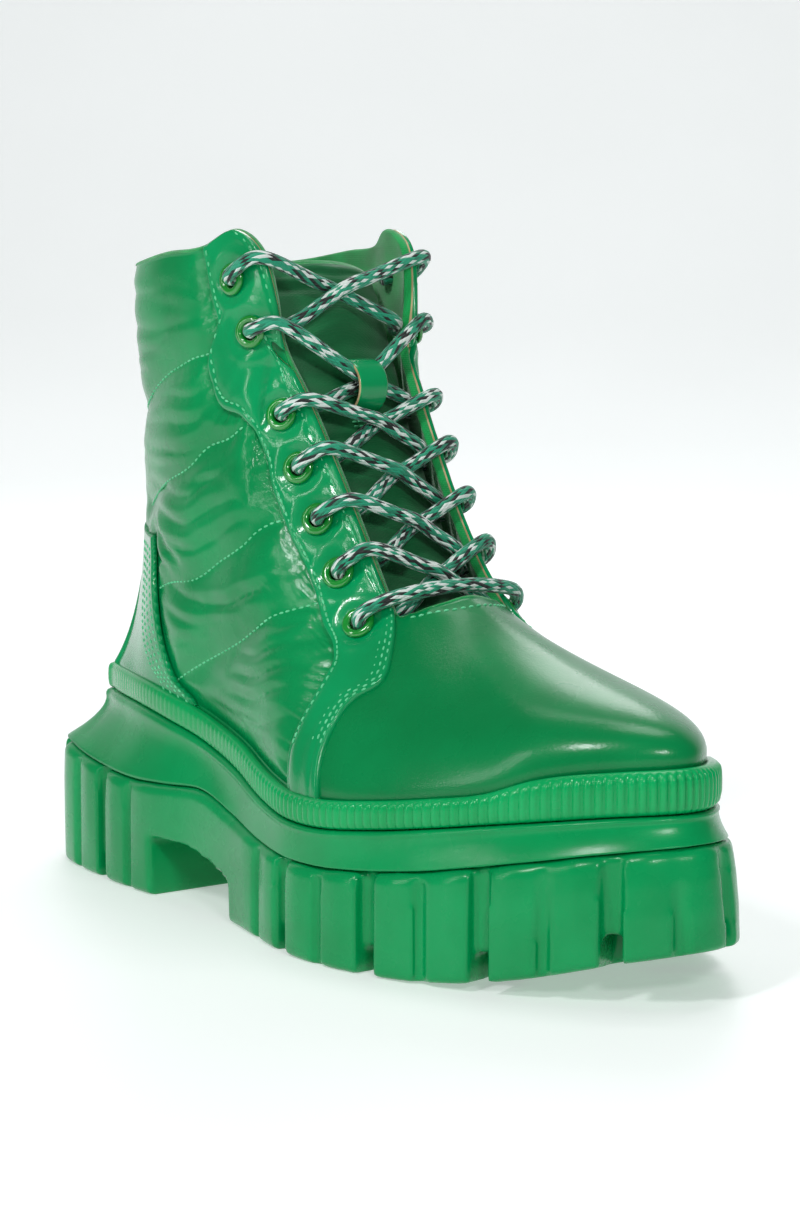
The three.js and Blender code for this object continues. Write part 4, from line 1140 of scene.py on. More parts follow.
@dataclass
class Upper:
    """Puffer quarters, smooth vamp and brushed lining in one padded shell."""

    finishes: Finishes
    wall: float = 2.6
    puff: float = 2.1
    seam_depth: float = 1.0
    vamp_from: float = .6
    under_facing_depth: float = .5
    under_counter_depth: float = .6
    bore: float = 3.0
    collar_stitch: float = .962

    # Quilt seams in the side view, and the height at which they cross the heel's middle
    QUILT: ClassVar[list] = [
        (((.18, .735), (.227, .766), (.28, .795), (.329, .815), (.35, .822)), .7),
        (((.17, .578), (.241, .618), (.325, .665), (.393, .709), (.41, .72)), None),
        (((.235, .46), (.274, .474), (.33, .488), (.362, .511), (.42, .552), (.462, .586), (.475, .59)),
         None),
        (((.275, .322), (.33, .357), (.38, .385), (.428, .413), (.518, .471), (.54, .482)), None)]

    # Folds in the side view: places, depth and half width in millimetres
    FOLDS: ClassVar[list] = [
        (((.215, .562), (.249, .53), (.295, .508)), 1.7, 2.6),
        (((.2, .535), (.24, .505), (.27, .495)), 1.1, 2.2),
        (((.262, .468), (.32, .452), (.385, .455), (.478, .486)), 1.7, 2.8),
        (((.25, .438), (.33, .42), (.42, .438)), .9, 2.6),
        (((.28, .378), (.362, .415)), .6, 2.6),
        (((.2, .612), (.29, .603), (.39, .636)), .8, 2.2),
        (((.21, .578), (.32, .57), (.415, .603)), 1.1, 2.4),
        (((.25, .54), (.345, .54), (.43, .58)), 1, 2.2),
        (((.3, .625), (.36, .64), (.405, .665)), .6, 1.8),
        (((.2, .74), (.3, .752), (.352, .778)), .7, 2.2),
        (((.19, .704), (.29, .712), (.352, .742)), .9, 2.4),
        (((.19, .668), (.27, .67), (.335, .694)), .9, 2.2),
        (((.19, .638), (.26, .65), (.3, .66)), .6, 2),
        (((.15, .905), (.21, .903), (.28, .915)), .5, 2.8),
        (((.15, .86), (.24, .85), (.325, .87)), .6, 2.6),
        (((.16, .805), (.23, .822), (.27, .84)), .7, 2.6),
        (((.16, .79), (.21, .79)), .5, 2.4),
        (((.405, .384), (.47, .396), (.545, .422)), .8, 1.9),
        (((.395, .355), (.47, .365), (.555, .392)), .9, 2),
        (((.39, .328), (.46, .33), (.56, .362)), .7, 2),
        (((.42, .3), (.5, .302), (.56, .325)), .6, 2),
        (((.35, .31), (.4, .3), (.45, .287)), .4, 2.6),
        (((.46, .435), (.5, .44), (.53, .452)), .6, 1.7),
        (((.4, .47), (.45, .49), (.49, .51)), .6, 1.8)]

    def seams(self, side: Side) -> list[Line]:
        """Quilt seams of one side."""
        return [Line.side_view(side, places, heel=heel) for places, heel in self.QUILT]

    def relief(self, points: Array, rise: Array, side: Side) -> Array:
        """Height of the padding over the last on one side.

        Args:
            points: Points of the last.
            rise: Their rises.
            side: Side of the boot.

        Returns:
            Heights in millimetres.
        """
        seed = 10 if side is Side.OUTER else 60
        rear = Line.side_view(side, [pair[0] for pair in Eyestay.PAIRS], 220)
        counter = Line.side_view(side, Counter.EDGE)
        height = np.zeros(points.shape[:-1])
        nearest = np.full(points.shape[:-1], 99.0)
        seams = [(rear, 1.7, 3.5, 11.0)] + [(seam, .4, 2.7, 3.4) for seam in self.seams(side)]
        for k, (line, strength, pitch, reach) in enumerate(seams):
            gap, along = line.near(points)
            nearest = np.minimum(nearest, gap)
            lean = along + .3 * gap * ripple(along, 40, seed + k)
            fold = np.abs(np.sin(math.pi * lean / pitch + 1.2 * ripple(lean, 17, seed + k + 7)))
            uneven = .65 + .35 * ripple(along, 13, seed + k + 20)
            fade = np.exp(-gap / (reach * (.8 + .3 * ripple(along, 9, seed + 30 + k)) * .5))
            height += strength * uneven * (fold**.7 - .62) * fade * (1 - np.exp(-gap / .7))
        gap, _ = counter.near(points)
        nearest = np.minimum(nearest, gap)
        collar = np.maximum(0, 1 - rise) * 110
        low = np.clip(rise, 0, 1) * 100
        nearest = np.minimum(nearest, np.minimum(collar + 2.5, low + 1.5))
        height += -self.seam_depth + self.puff * (1 - np.exp(-(nearest / 5.5)**1.5))
        for k, (places, depth, width) in enumerate(self.FOLDS):
            shift = 0.0 if side is Side.OUTER else .008 * math.sin(2.1 * k)
            line = Line.side_view(side, [(x, z + shift) for x, z in places], 60)
            gap, along = line.near(points)
            taper = np.clip(np.minimum(along, line.arc[-1] - along) / (.3 * line.arc[-1]), 0, 1)**.6
            end = (along <= 0) | (along >= line.arc[-1])
            reach = np.where(end, width * .8, width)
            height -= .85 * depth * (.2 + .8 * taper) * np.exp(-(gap / (.5 * reach))**1.25)
            height += .22 * depth * taper * np.exp(-((gap - 1.6 * width) / (.8 * width))**2)
        crease = ripple(points[..., 2] + .12 * points[..., 0], 8.5, seed + 3)
        height += .12 * crease * np.clip(nearest / 8, 0, 1)
        return height

    def build(self, stitches: Stitches) -> bpy.types.Object:
        """Make the shell and its quilt stitches.

        Args:
            stitches: Gathers the thread.

        Returns:
            The piece.
        """
        quarter = np.linspace(0, .66, 236)[:-1]
        vamp = np.linspace(.66, 1, 50)
        half = np.concatenate([quarter, vamp])
        laps = np.concatenate([half, 2 - half[1:-1][::-1]])
        rises = np.concatenate([[-1, -.5], np.linspace(-.05, .985, 138), [.994]])
        rise, lap = np.meshgrid(rises, laps, indexing="ij")
        points = LAST.surface(lap, rise)
        normals = LAST.normal(lap, rise)
        height = np.zeros(lap.shape)
        outer_side = np.mod(lap, 2) <= 1
        for side in Side:
            here = outer_side if side is Side.OUTER else ~outer_side
            columns = here[0]
            height[:, columns] = self.relief(points[:, columns], rise[:, columns], side)
        turn = LAST.turn(lap)
        seam_x = LAST.length * (self.vamp_from - .5)
        quarter_share = 1 - smoothstep(seam_x - 3, seam_x + 2, points[..., 0])
        covered = self.under_facing(lap, rise)
        height = np.where(covered, -self.under_facing_depth, height)
        vamp_height = .25 - .4 * np.exp(-((1 - rise) * 80 / 2)**2)
        height = height * quarter_share + vamp_height * (1 - quarter_share)
        heel_cover = (turn < .3) & (points[..., 2] < LAST.height * .55)
        height = np.where(heel_cover & self.under_counter(points), -self.under_counter_depth, height)
        height *= smoothstep(-.12, .05, rise)
        outer = points + normals * height[..., None]
        slot = (points[:-1, :, 0] + np.roll(points, -1, 1)[:-1, :, 0] > 2 * seam_x).astype(int)
        gather = Gather()
        index = gather.add(outer)
        closed = np.concatenate([points, points[:, :1]], 1)
        keep = np.logical_and.reduce([clear_of_eyelets(closed, side, self.bore) for side in Side])
        gather.grid(index, slot, wrap=True, keep=keep)
        lip = []
        for angle in np.linspace(0, math.pi, 8):
            out = -self.wall / 2 + (self.wall / 2 + .1) * math.cos(angle)
            up = .9 * math.sin(angle)
            edge = LAST.offset(laps, np.ones_like(laps), np.full_like(laps, out))
            climb = unit(LAST.surface(laps, np.ones_like(laps)) - LAST.surface(laps, np.full_like(laps, .97)))
            lip.append(edge + climb * (up - .6))
        rim = gather.add(np.array(lip))
        gather.grid(np.vstack([index[-1:], rim]), 2, wrap=True)
        inner_rises = np.concatenate([np.linspace(.985, 0, 15), [-1]])
        rise_in, lap_in = np.meshgrid(inner_rises, laps, indexing="ij")
        lining = LAST.offset(lap_in, rise_in, np.full_like(lap_in, -self.wall))
        inner = gather.add(lining)
        gather.grid(np.vstack([rim[-1:], inner[:1]]), 2, wrap=True)
        gather.grid(inner, 2, wrap=True)
        gather.grid(np.vstack([inner[-1:], index[:1]]), 2, wrap=True)
        piece = gather.finish("puffer_upper", [self.finishes.nylon, self.finishes.vamp, self.finishes.lining])
        for side in Side:
            for line in self.seams(side):
                stitches.on_last(line, .1 - self.seam_depth)
        throat = np.linspace(.655, 1.345, 300)
        stitches.on_last(Line(throat, np.full(300, self.collar_stitch)), .3)
        return report(piece, "upper", "upper")

    def under_facing(self, lap: Array, rise: Array) -> Array:
        """Say which points lie under the facings.

        Args:
            lap: Laps.
            rise: Rises.

        Returns:
            True where a facing covers the point.
        """
        covered = np.zeros(lap.shape, bool)
        for side in Side:
            rows = [LAST.find(side, *pair[0]) for pair in Eyestay.PAIRS]
            rows = np.array([(side.lap(lap_at), rise_at) for lap_at, rise_at in rows])[::-1]
            edge = np.interp(rise, rows[:, 1], rows[:, 0])
            turn = LAST.turn(lap)
            here = (np.mod(lap, 2) <= 1) == (side is Side.OUTER)
            covered |= here & (turn > edge + .008)
        return covered

    def under_counter(self, points: Array) -> Array:
        """Say which points lie under the counter.

        Args:
            points: Points of the last.

        Returns:
            True where the counter covers the point.
        """
        edge = np.array([(.325, .0), (.32, .28), (.283, .33), (.25, .385), (.228, .46), (.215, .53),
                         (.1, .56)])
        limit = np.interp(points[..., 2] / LAST.height, edge[:, 1], edge[:, 0])
        return points[..., 0] / LAST.length + .5 < limit - .012


@dataclass
class Sole:
    """Outsole, midsole, rand and foot bed."""

    finishes: Finishes
    fore_grooves: int = 18
    heel_grooves: int = 11
    fore_start: float = 24
    heel_start: float = 14
    deep: tuple[float, float] = (6.2, 4.0)
    shallow: tuple[float, float] = (4.0, 2.2)
    notch_height: float = 8
    notch_reach: float = 24
    groove_head: float = 2.2
    breast_at: float = .277
    block_at: float = .437
    breast_arch: float = 20
    block_arch: float = 13
    toe_lean: float = 2.7
    pillow: float = 1.0
    rib_depth: float = 1.15

    def stack(self, gather: Gather, laps: Array, levels: Iterable[tuple[Array, Array]]) -> Array:
        """Add a closed body stacked from rings of inset and height.

        Args:
            gather: Takes the body.
            laps: Laps of every ring.
            levels: Inset and height of each ring, from the bottom up.

        Returns:
            Indices of the rings' points.
        """
        rings = [np.column_stack([LAST.rim(laps, np.broadcast_to(inset, laps.shape)),
                                  np.broadcast_to(height, laps.shape)]) for inset, height in levels]
        index = gather.add(np.array(rings))
        gather.grid(index, wrap=True)
        count = len(laps)
        for ring in (index[0], index[-1]):
            left = ring[:count // 2 + 1]
            right = np.concatenate([ring[:1], ring[:count // 2 - 1:-1]])
            gather.grid(np.stack([left, right]))
        return index

    def box(self, gather: Gather, lap: float, width: float, inwards: float, bottom: float,
            top: float) -> None:
        """Add a cutter that stands on the sole's edge.

        Args:
            gather: Takes the cutter.
            lap: Place on the edge.
            width: Width along the edge.
            inwards: Reach behind the edge.
            bottom: Lowest height.
            top: Highest height.
        """
        normal = LAST.edge_normal(lap)
        along = np.array([-normal[1], normal[0]])
        edge = LAST.edge(lap)
        corners = []
        for z in (bottom, top):
            for out, aside in ((8, -1), (8, 1), (-inwards, 1), (-inwards, -1)):
                spot = edge + normal * out + along * aside * width / 2
                corners.append((*spot, z))
        index = gather.add(np.array(corners).reshape(2, 4, 3))
        gather.grid(index, wrap=True)
        for ring in index:
            gather.faces.append(ring[None])
            gather.slots.append(np.zeros(1, int))

    def grooves(self, start: float, stop: float, count: int, first: float) -> list[tuple[float, bool]]:
        """Lap of each groove and whether it is deep.

        Args:
            start: First lap.
            stop: Last lap.
            count: Number of grooves.
            first: Distance from either end to its first groove.

        Returns:
            Laps, and True for a deep groove.
        """
        laps = LAST.even_laps(start, stop, 1200)
        arc = run_length(LAST.edge(laps))
        places = np.linspace(first, arc[-1] - first, count)
        return [(float(lap), i % 2 == 1) for i, lap in enumerate(np.interp(places, arc, laps))]

    def build_outsole(self) -> bpy.types.Object:
        """Cut arch, grooves and notches from the body, then soften the edges as a mould does.

        Returns:
            The piece.
        """
        block, breast = (math.acos(1 - 2 * at) / math.pi for at in (self.block_at, self.breast_at))
        cut_at = (self.grooves(block, 2 - block, self.fore_grooves, self.fore_start)
                  + self.grooves(-breast, breast, self.heel_grooves, self.heel_start))
        laps = np.linspace(0, 2, 721)[:-1]
        lean = self.toe_lean * LAST.profile(LIFT, laps)
        tread, ridge = LAST.tread(laps), LAST.ridge(laps) - LAST.gap
        spots = LAST.edge(np.array([lap for lap, _ in cut_at]))
        gap = np.linalg.norm(LAST.edge(laps)[:, None] - spots[None], axis=-1).min(1)
        bulge = self.pillow * (1 - np.exp(-(gap / 6)**2)) - .3
        high = ridge + self.pillow * .6 * (bulge - .1)
        body = Gather()
        self.stack(body, laps, [(1.6, tread), (.5, tread + .5), (-.2 * bulge, tread + 1.6),
                                (lean * .3 - bulge * .8, tread + (high - tread) * .4),
                                (lean * .7 - bulge, tread + (high - tread) * .7),
                                (.3 + lean - bulge, high - 2.6), (1 + lean - bulge * .6, high - 1.1),
                                (2.2 + lean, high - .3), (3.6 + lean, ridge)])
        outsole = body.finish("lugged_outsole", [self.finishes.rubber])
        cuts = Gather()
        for lap, deep in cut_at:
            width, depth = self.deep if deep else self.shallow
            tread_at = float(LAST.tread(lap))
            head = float(LAST.ridge(lap)) - (.6 if deep else self.groove_head)
            self.box(cuts, lap, width, depth, tread_at - 8, head)
            if deep:
                self.box(cuts, lap, width - .05, self.notch_reach, tread_at - 8, tread_at + self.notch_height)
        low, high = (LAST.length * (s - .5) for s in (self.breast_at, self.block_at))
        s = np.linspace(0, 1, 14)
        control = low + (high - low) * .45
        x = (1 - s)**2 * low + 2 * s * (1 - s) * control + s**2 * high
        z = ((1 - s)**2 * (self.breast_arch - 1) + 2 * s * (1 - s) * (self.breast_arch + 1)
             + s**2 * self.block_arch)
        across = LAST.ball_width * .6
        arch = np.array([[[px, side * across, pz] for px, pz in
                          [(low, -8.0), *zip(x, z), (high, -8.0)]] for side in (-1, 1)])
        index = cuts.add(arch)
        cuts.grid(index, wrap=True)
        for ring in index:
            cuts.grid(np.stack([ring[:8], ring[:7:-1]]))
        cutter = cuts.finish("outsole_cutter", [self.finishes.rubber])
        boolean = outsole.modifiers.new("cut", "BOOLEAN")
        boolean.object, boolean.operation, boolean.solver = cutter, "DIFFERENCE", "EXACT"
        boolean.use_self = True
        remesh = outsole.modifiers.new("mould", "REMESH")
        remesh.mode, remesh.voxel_size, remesh.use_smooth_shade = "VOXEL", 1.1 * MILLIMETRE, True
        soften = outsole.modifiers.new("soften", "SMOOTH")
        soften.factor, soften.iterations = .5, 3
        settled = outsole.evaluated_get(bpy.context.evaluated_depsgraph_get())
        mesh = bpy.data.meshes.new_from_object(settled)
        outsole.modifiers.clear()
        outsole.data = mesh
        mesh.materials.clear()
        mesh.materials.append(self.finishes.rubber)
        mesh.polygons.foreach_set("use_smooth", np.ones(len(mesh.polygons), bool))
        bpy.data.objects.remove(cutter)
        return report(outsole, "outsole", "outsole")

    def build_midsole(self) -> bpy.types.Object:
        """Make the waisted midsole between lugs and rand.

        Returns:
            The piece.
        """
        laps = np.linspace(0, 2, 481)[:-1]
        foot = 1.2 + self.toe_lean * LAST.profile(LIFT, laps)
        head = LAST.rand_inset(laps) - .4
        pull = Table(np.array([[0, 0], [.3, .5], [.62, .86], [1, 1]]))
        ridge, seat = LAST.ridge(laps), LAST.seat(laps)
        levels = [(foot + 1.2, ridge - .2)]
        for share in np.linspace(0.02, .96, 22):
            bead = .5 * math.exp(-((share - .9) / .06)**2)
            levels.append((foot + (head - foot) * pull(share)[0] - bead, ridge + (seat - ridge) * share))
        levels.append((head + .8, seat))
        gather = Gather()
        self.stack(gather, laps, levels)
        piece = gather.finish("waisted_midsole", [self.finishes.rubber])
        return report(piece, "midsole", "midsole")

    def build_rand(self) -> bpy.types.Object:
        """Make the ribbed band; its ribs fade towards the heel.

        Returns:
            The piece.
        """
        fine = np.linspace(0, 2, 4001)
        arc = run_length(LAST.edge(fine))
        pitch = np.interp(LAST.share(fine), [0, .55, .8, 1], [2.9, 2.7, 3.0, 3.3])
        phase = np.concatenate([[0], np.cumsum(np.diff(arc) / pitch[1:])])
        ribs = round(phase[-1])
        per_rib = 6
        marks = np.linspace(0, phase[-1], ribs * per_rib + 1)[:-1]
        laps = np.interp(marks, phase, fine)
        wave = np.array([0, .62, .95, 1, .95, .62])[np.arange(len(laps)) % per_rib]
        share = LAST.share(laps)
        depth = self.rib_depth * (.1 + .9 * smoothstep(.35, .85, share))
        inset, seat, top = LAST.rand_inset(laps), LAST.seat(laps), LAST.rand_top(laps)
        levels = []
        section = ((0, -.9, 0), (.04, -.3, .3), (.12, .1, .8), (.3, .3, 1), (.55, .35, 1), (.74, .25, 1),
                   (.85, .1, .9), (.92, -.1, .35), (.965, -.5, 0), (1, -1.2, 0))
        for t, bulge, rib in section:
            levels.append((inset - bulge - depth * rib * wave, seat + LAST.gap + (top - seat - LAST.gap) * t))
        inner = LAST.feather_inset(laps) - LAST.gap
        levels += [(inner - .4, top - .1), (inner, top - .8), (inner, seat + LAST.gap)]
        rings = [np.column_stack([LAST.rim(laps, a), b]) for a, b in levels]
        gather = Gather()
        index = gather.add(np.array(rings + rings[:1]))
        gather.grid(index, wrap=True)
        piece = gather.finish("ribbed_rand", [self.finishes.rand_rubber], merge_mm=.01)
        return report(piece, "rand", "rand")

    def build_foot_bed(self) -> bpy.types.Object:
        """Make the cushioned sock.

        Returns:
            The piece.
        """
        laps = np.linspace(0, 2, 161)[:-1]
        inset = LAST.feather_inset(laps) + 3.7
        seat = LAST.seat(laps) + LAST.gap
        gather = Gather()
        section = ((.6, 0), (0, .8), (0, 2.6), (.8, 3.2), (4, 2.7), (12, 2.3))
        self.stack(gather, laps, [(inset + inwards, seat + up) for inwards, up in section])
        piece = gather.finish("foot_bed_sock", [self.finishes.sock])
        return report(piece, "insole", "insole")


@dataclass
class Tongue:
    """Padded tongue with its lace keeper."""

    finishes: Finishes
    thickness: float = 6.5
    half_width: float = 26
    bow: float = 8
    keeper_width: float = 10.5
    keeper_length: float = 17.4
    keeper_clear: float = 8.8
    keeper_wall: float = 1.4
    keeper_seat: float = .8
    keeper_z: float = .768
    face_length: float = 150

    # Folds: share of the length at the outer side, middle and inner side, depth and width in millimetres
    FOLDS: ClassVar[list] = [
        (.965, .95, .962, 1.0, 1.6), (.93, .9, .915, 1.0, 2.4), (.87, .855, .88, .8, 2.4),
        (.83, .8, .81, 1.1, 2.6), (.775, .75, .77, .9, 2.4), (.71, .7, .68, 1.1, 2.8),
        (.66, .64, .65, .8, 2.4), (.6, .58, .6, 1.0, 2.8), (.53, .52, .5, .8, 2.6),
        (.45, .44, .45, .9, 2.8), (.37, .36, .38, .7, 2.8)]

    def __post_init__(self) -> None:
        """Prepare the table of the middle line."""
        self.table = Table(np.column_stack([np.arange(len(TONGUE)), TONGUE]))

    def middle(self, share: Array) -> tuple[Array, Array, Array]:
        """Middle line, its direction and its outward normal at shares of the length.

        Args:
            share: Shares of the length, from the foot.

        Returns:
            Points, directions and normals.
        """
        place = np.asarray(share, float) * (len(TONGUE) - 1)

        def spot(s: Array) -> Array:
            """Point of the middle line."""
            row = self.table(s)
            return np.stack([LAST.length * (row[..., 0] - .5), np.full(np.shape(s), LAST.shaft_shift),
                             LAST.height * row[..., 1]], -1)

        tangent = unit(spot(place + .02) - spot(place - .02))
        normal = np.stack([tangent[..., 2], np.zeros(np.shape(place)), -tangent[..., 0]], -1)
        return spot(place), tangent, normal

    def share_at(self, z: float) -> float:
        """Share of the length at which the middle line reaches a height in millimetres."""
        shares = np.linspace(0, 1, 400)
        return float(np.interp(z, self.middle(shares)[0][:, 2], shares))

    def build_pad(self) -> bpy.types.Object:
        """Make the padded tongue with soft rolls across it and a bound top edge.

        Returns:
            The piece.
        """
        shares = np.concatenate([np.linspace(0, .96, 150), np.linspace(.963, 1, 14)])
        across = np.linspace(-1, 1, 61)
        share, side = np.meshgrid(shares, across, indexing="ij")
        middle, _, normal = self.middle(shares)
        row = self.table(shares * (len(TONGUE) - 1))
        width, body = self.half_width * row[:, 2:3], self.thickness * row[:, 3:4]
        bow = self.bow * row[:, 4:5]
        height = .3 * np.cos(side * math.pi / 2)
        for k, (outer, centre, inner, depth, wide) in enumerate(self.FOLDS):
            line = centre + np.where(side < 0, outer - centre, inner - centre) * np.abs(side)**1.3
            line = line + .006 * ripple(side * 20, 17, 90 + k)
            gap = (share - line) * self.face_length
            height -= .8 * depth * np.exp(-(gap / wide)**2) * (.55 + .45 * np.cos(side * 2.4 + k))
            height += .5 * depth * np.exp(-((gap - 2.2 * wide) / (1.5 * wide))**2)
        top = smoothstep(1, .955, share)
        height *= smoothstep(0, .1, share) * (.3 + .7 * top)
        edge = np.clip((1 - np.abs(side)) / .16, 0, 1)
        crown = np.sqrt(np.clip(1 - np.clip((share - .965) / .035, 0, 1)**2, 0, 1))
        puff = np.sqrt(1 - (1 - edge)**2) * crown
        base = middle[:, None] + np.stack([np.zeros_like(side), side * width, np.zeros_like(side)], -1)
        sunk = bow * side**2 + body / 2
        face = base + normal[:, None] * (-sunk + (body / 2 + height) * (.3 + .7 * puff))[..., None]
        back = base + normal[:, None] * (-sunk - body / 2 * (.3 + .7 * puff))[..., None]
        gather = Gather()
        lined = np.zeros((len(shares) - 1, len(across) - 1), int)
        lined[share[:-1, :-1] > .982] = 1
        gather.slab(face, back, lined, 1)
        piece = gather.finish("padded_tongue", [self.finishes.tongue, self.finishes.lining])
        return report(piece, "tongue", "tongue")

    def build_keeper(self, stitches: Stitches) -> bpy.types.Object:
        """Make the leather loop that holds the lace to the tongue.

        Args:
            stitches: Gathers the thread.

        Returns:
            The piece.
        """
        share = self.share_at(LAST.height * self.keeper_z)
        middle, tangent, normal = self.middle(share)
        half, wall = self.keeper_length / 2, self.keeper_wall
        steps, corners, foot = 40, 24, -.4
        rise = (self.keeper_clear + wall / 2) * 4 / 3
        reach = half - wall / 2
        arch = [np.array(p) for p in ((-reach, foot), (-reach, rise), (reach, rise), (reach, foot))]
        path = bezier(np.linspace(0, 1, steps)[:, None], *arch)
        slope = unit(np.gradient(path, axis=0))
        out = np.column_stack([-slope[:, 1], slope[:, 0]])
        section = []
        for angle in np.linspace(0, 2 * math.pi, corners + 1)[:-1]:
            c, d = math.cos(angle), math.sin(angle)
            wide = self.keeper_width / 2 * math.copysign(abs(c)**.25, c)
            thick = wall / 2 * math.copysign(abs(d)**.6, d)
            section.append((wide, thick))
        rings = []
        for (along, up), (ox, oy) in zip(path, out):
            ring = []
            for wide, thick in section:
                ring.append(middle + normal * self.keeper_seat + tangent * (along + ox * thick)
                            + normal * (up + oy * thick) + np.array([0, wide, 0]))
            rings.append(ring)
        gather = Gather()
        index = gather.add(np.array(rings))
        edge = np.zeros((steps - 1, corners), int)
        for i, (wide, _) in enumerate(section):
            following = section[(i + 1) % corners][0]
            edge[:, i] = int(min(abs(wide), abs(following)) > self.keeper_width / 2 * .93)
        gather.grid(index, edge, wrap=True)
        for ring in (index[0], index[-1]):
            gather.grid(np.stack([ring[:corners // 2], ring[:corners // 2 - 1:-1]]))
        piece = gather.finish("lace_loop", [self.finishes.patent, self.finishes.cut])
        low = self.middle(share - .075)
        across = np.linspace(-4, 4, 5)[:, None] * np.array([0, 1, 0])
        for k in range(2):
            places = low[0] + low[2] * .6 + across + low[1] * 1.6 * k
            stitches.row(places, np.repeat(low[2][None], 5, 0))
        return report(piece, "tongue", "lace_keeper")


@dataclass
class Hardware:
    """Enamelled eyelets."""

    finishes: Finishes
    outer: float = 5.0
    bore: float = 2.55
    thickness: float = 1.35
    seat: float = 1.55

    def build(self) -> None:
        """Make the fourteen rings with their barrels."""
        profile = [(self.bore, -3.4), (self.bore + .35, -3.6), (self.bore + .45, -.2), (self.outer - .5, -.2),
                   (self.outer, 0), (self.outer, .25)]
        for angle in np.linspace(.1, math.pi - .25, 9):
            centre, reach = (self.outer + self.bore) / 2, (self.outer - self.bore) / 2
            profile.append((centre + reach * math.cos(angle), .25 + (self.thickness - .25) * math.sin(angle)))
        profile.append((self.bore, 0))
        profile.append((self.bore, -3.4))
        angles = np.linspace(0, 2 * math.pi, 41)[:-1]
        for side in Side:
            for number, (centre, normal) in enumerate(FRAMES[side], 1):
                first = unit(np.cross(normal, np.array([0, 0, 1.0])))
                second = np.cross(normal, first)
                around = np.cos(angles)[:, None] * first + np.sin(angles)[:, None] * second
                rings = [centre + around * r + normal * (self.seat + h) for r, h in profile]
                gather = Gather()
                gather.grid(gather.add(np.array(rings)), wrap=True)
                name = f"eyelet_{side.name.lower()}_{number}"
                piece = gather.finish(name, [self.finishes.enamel], merge_mm=.005)
                report(piece, "eyelet", f"eyelet_{side.node_word}_{number}")


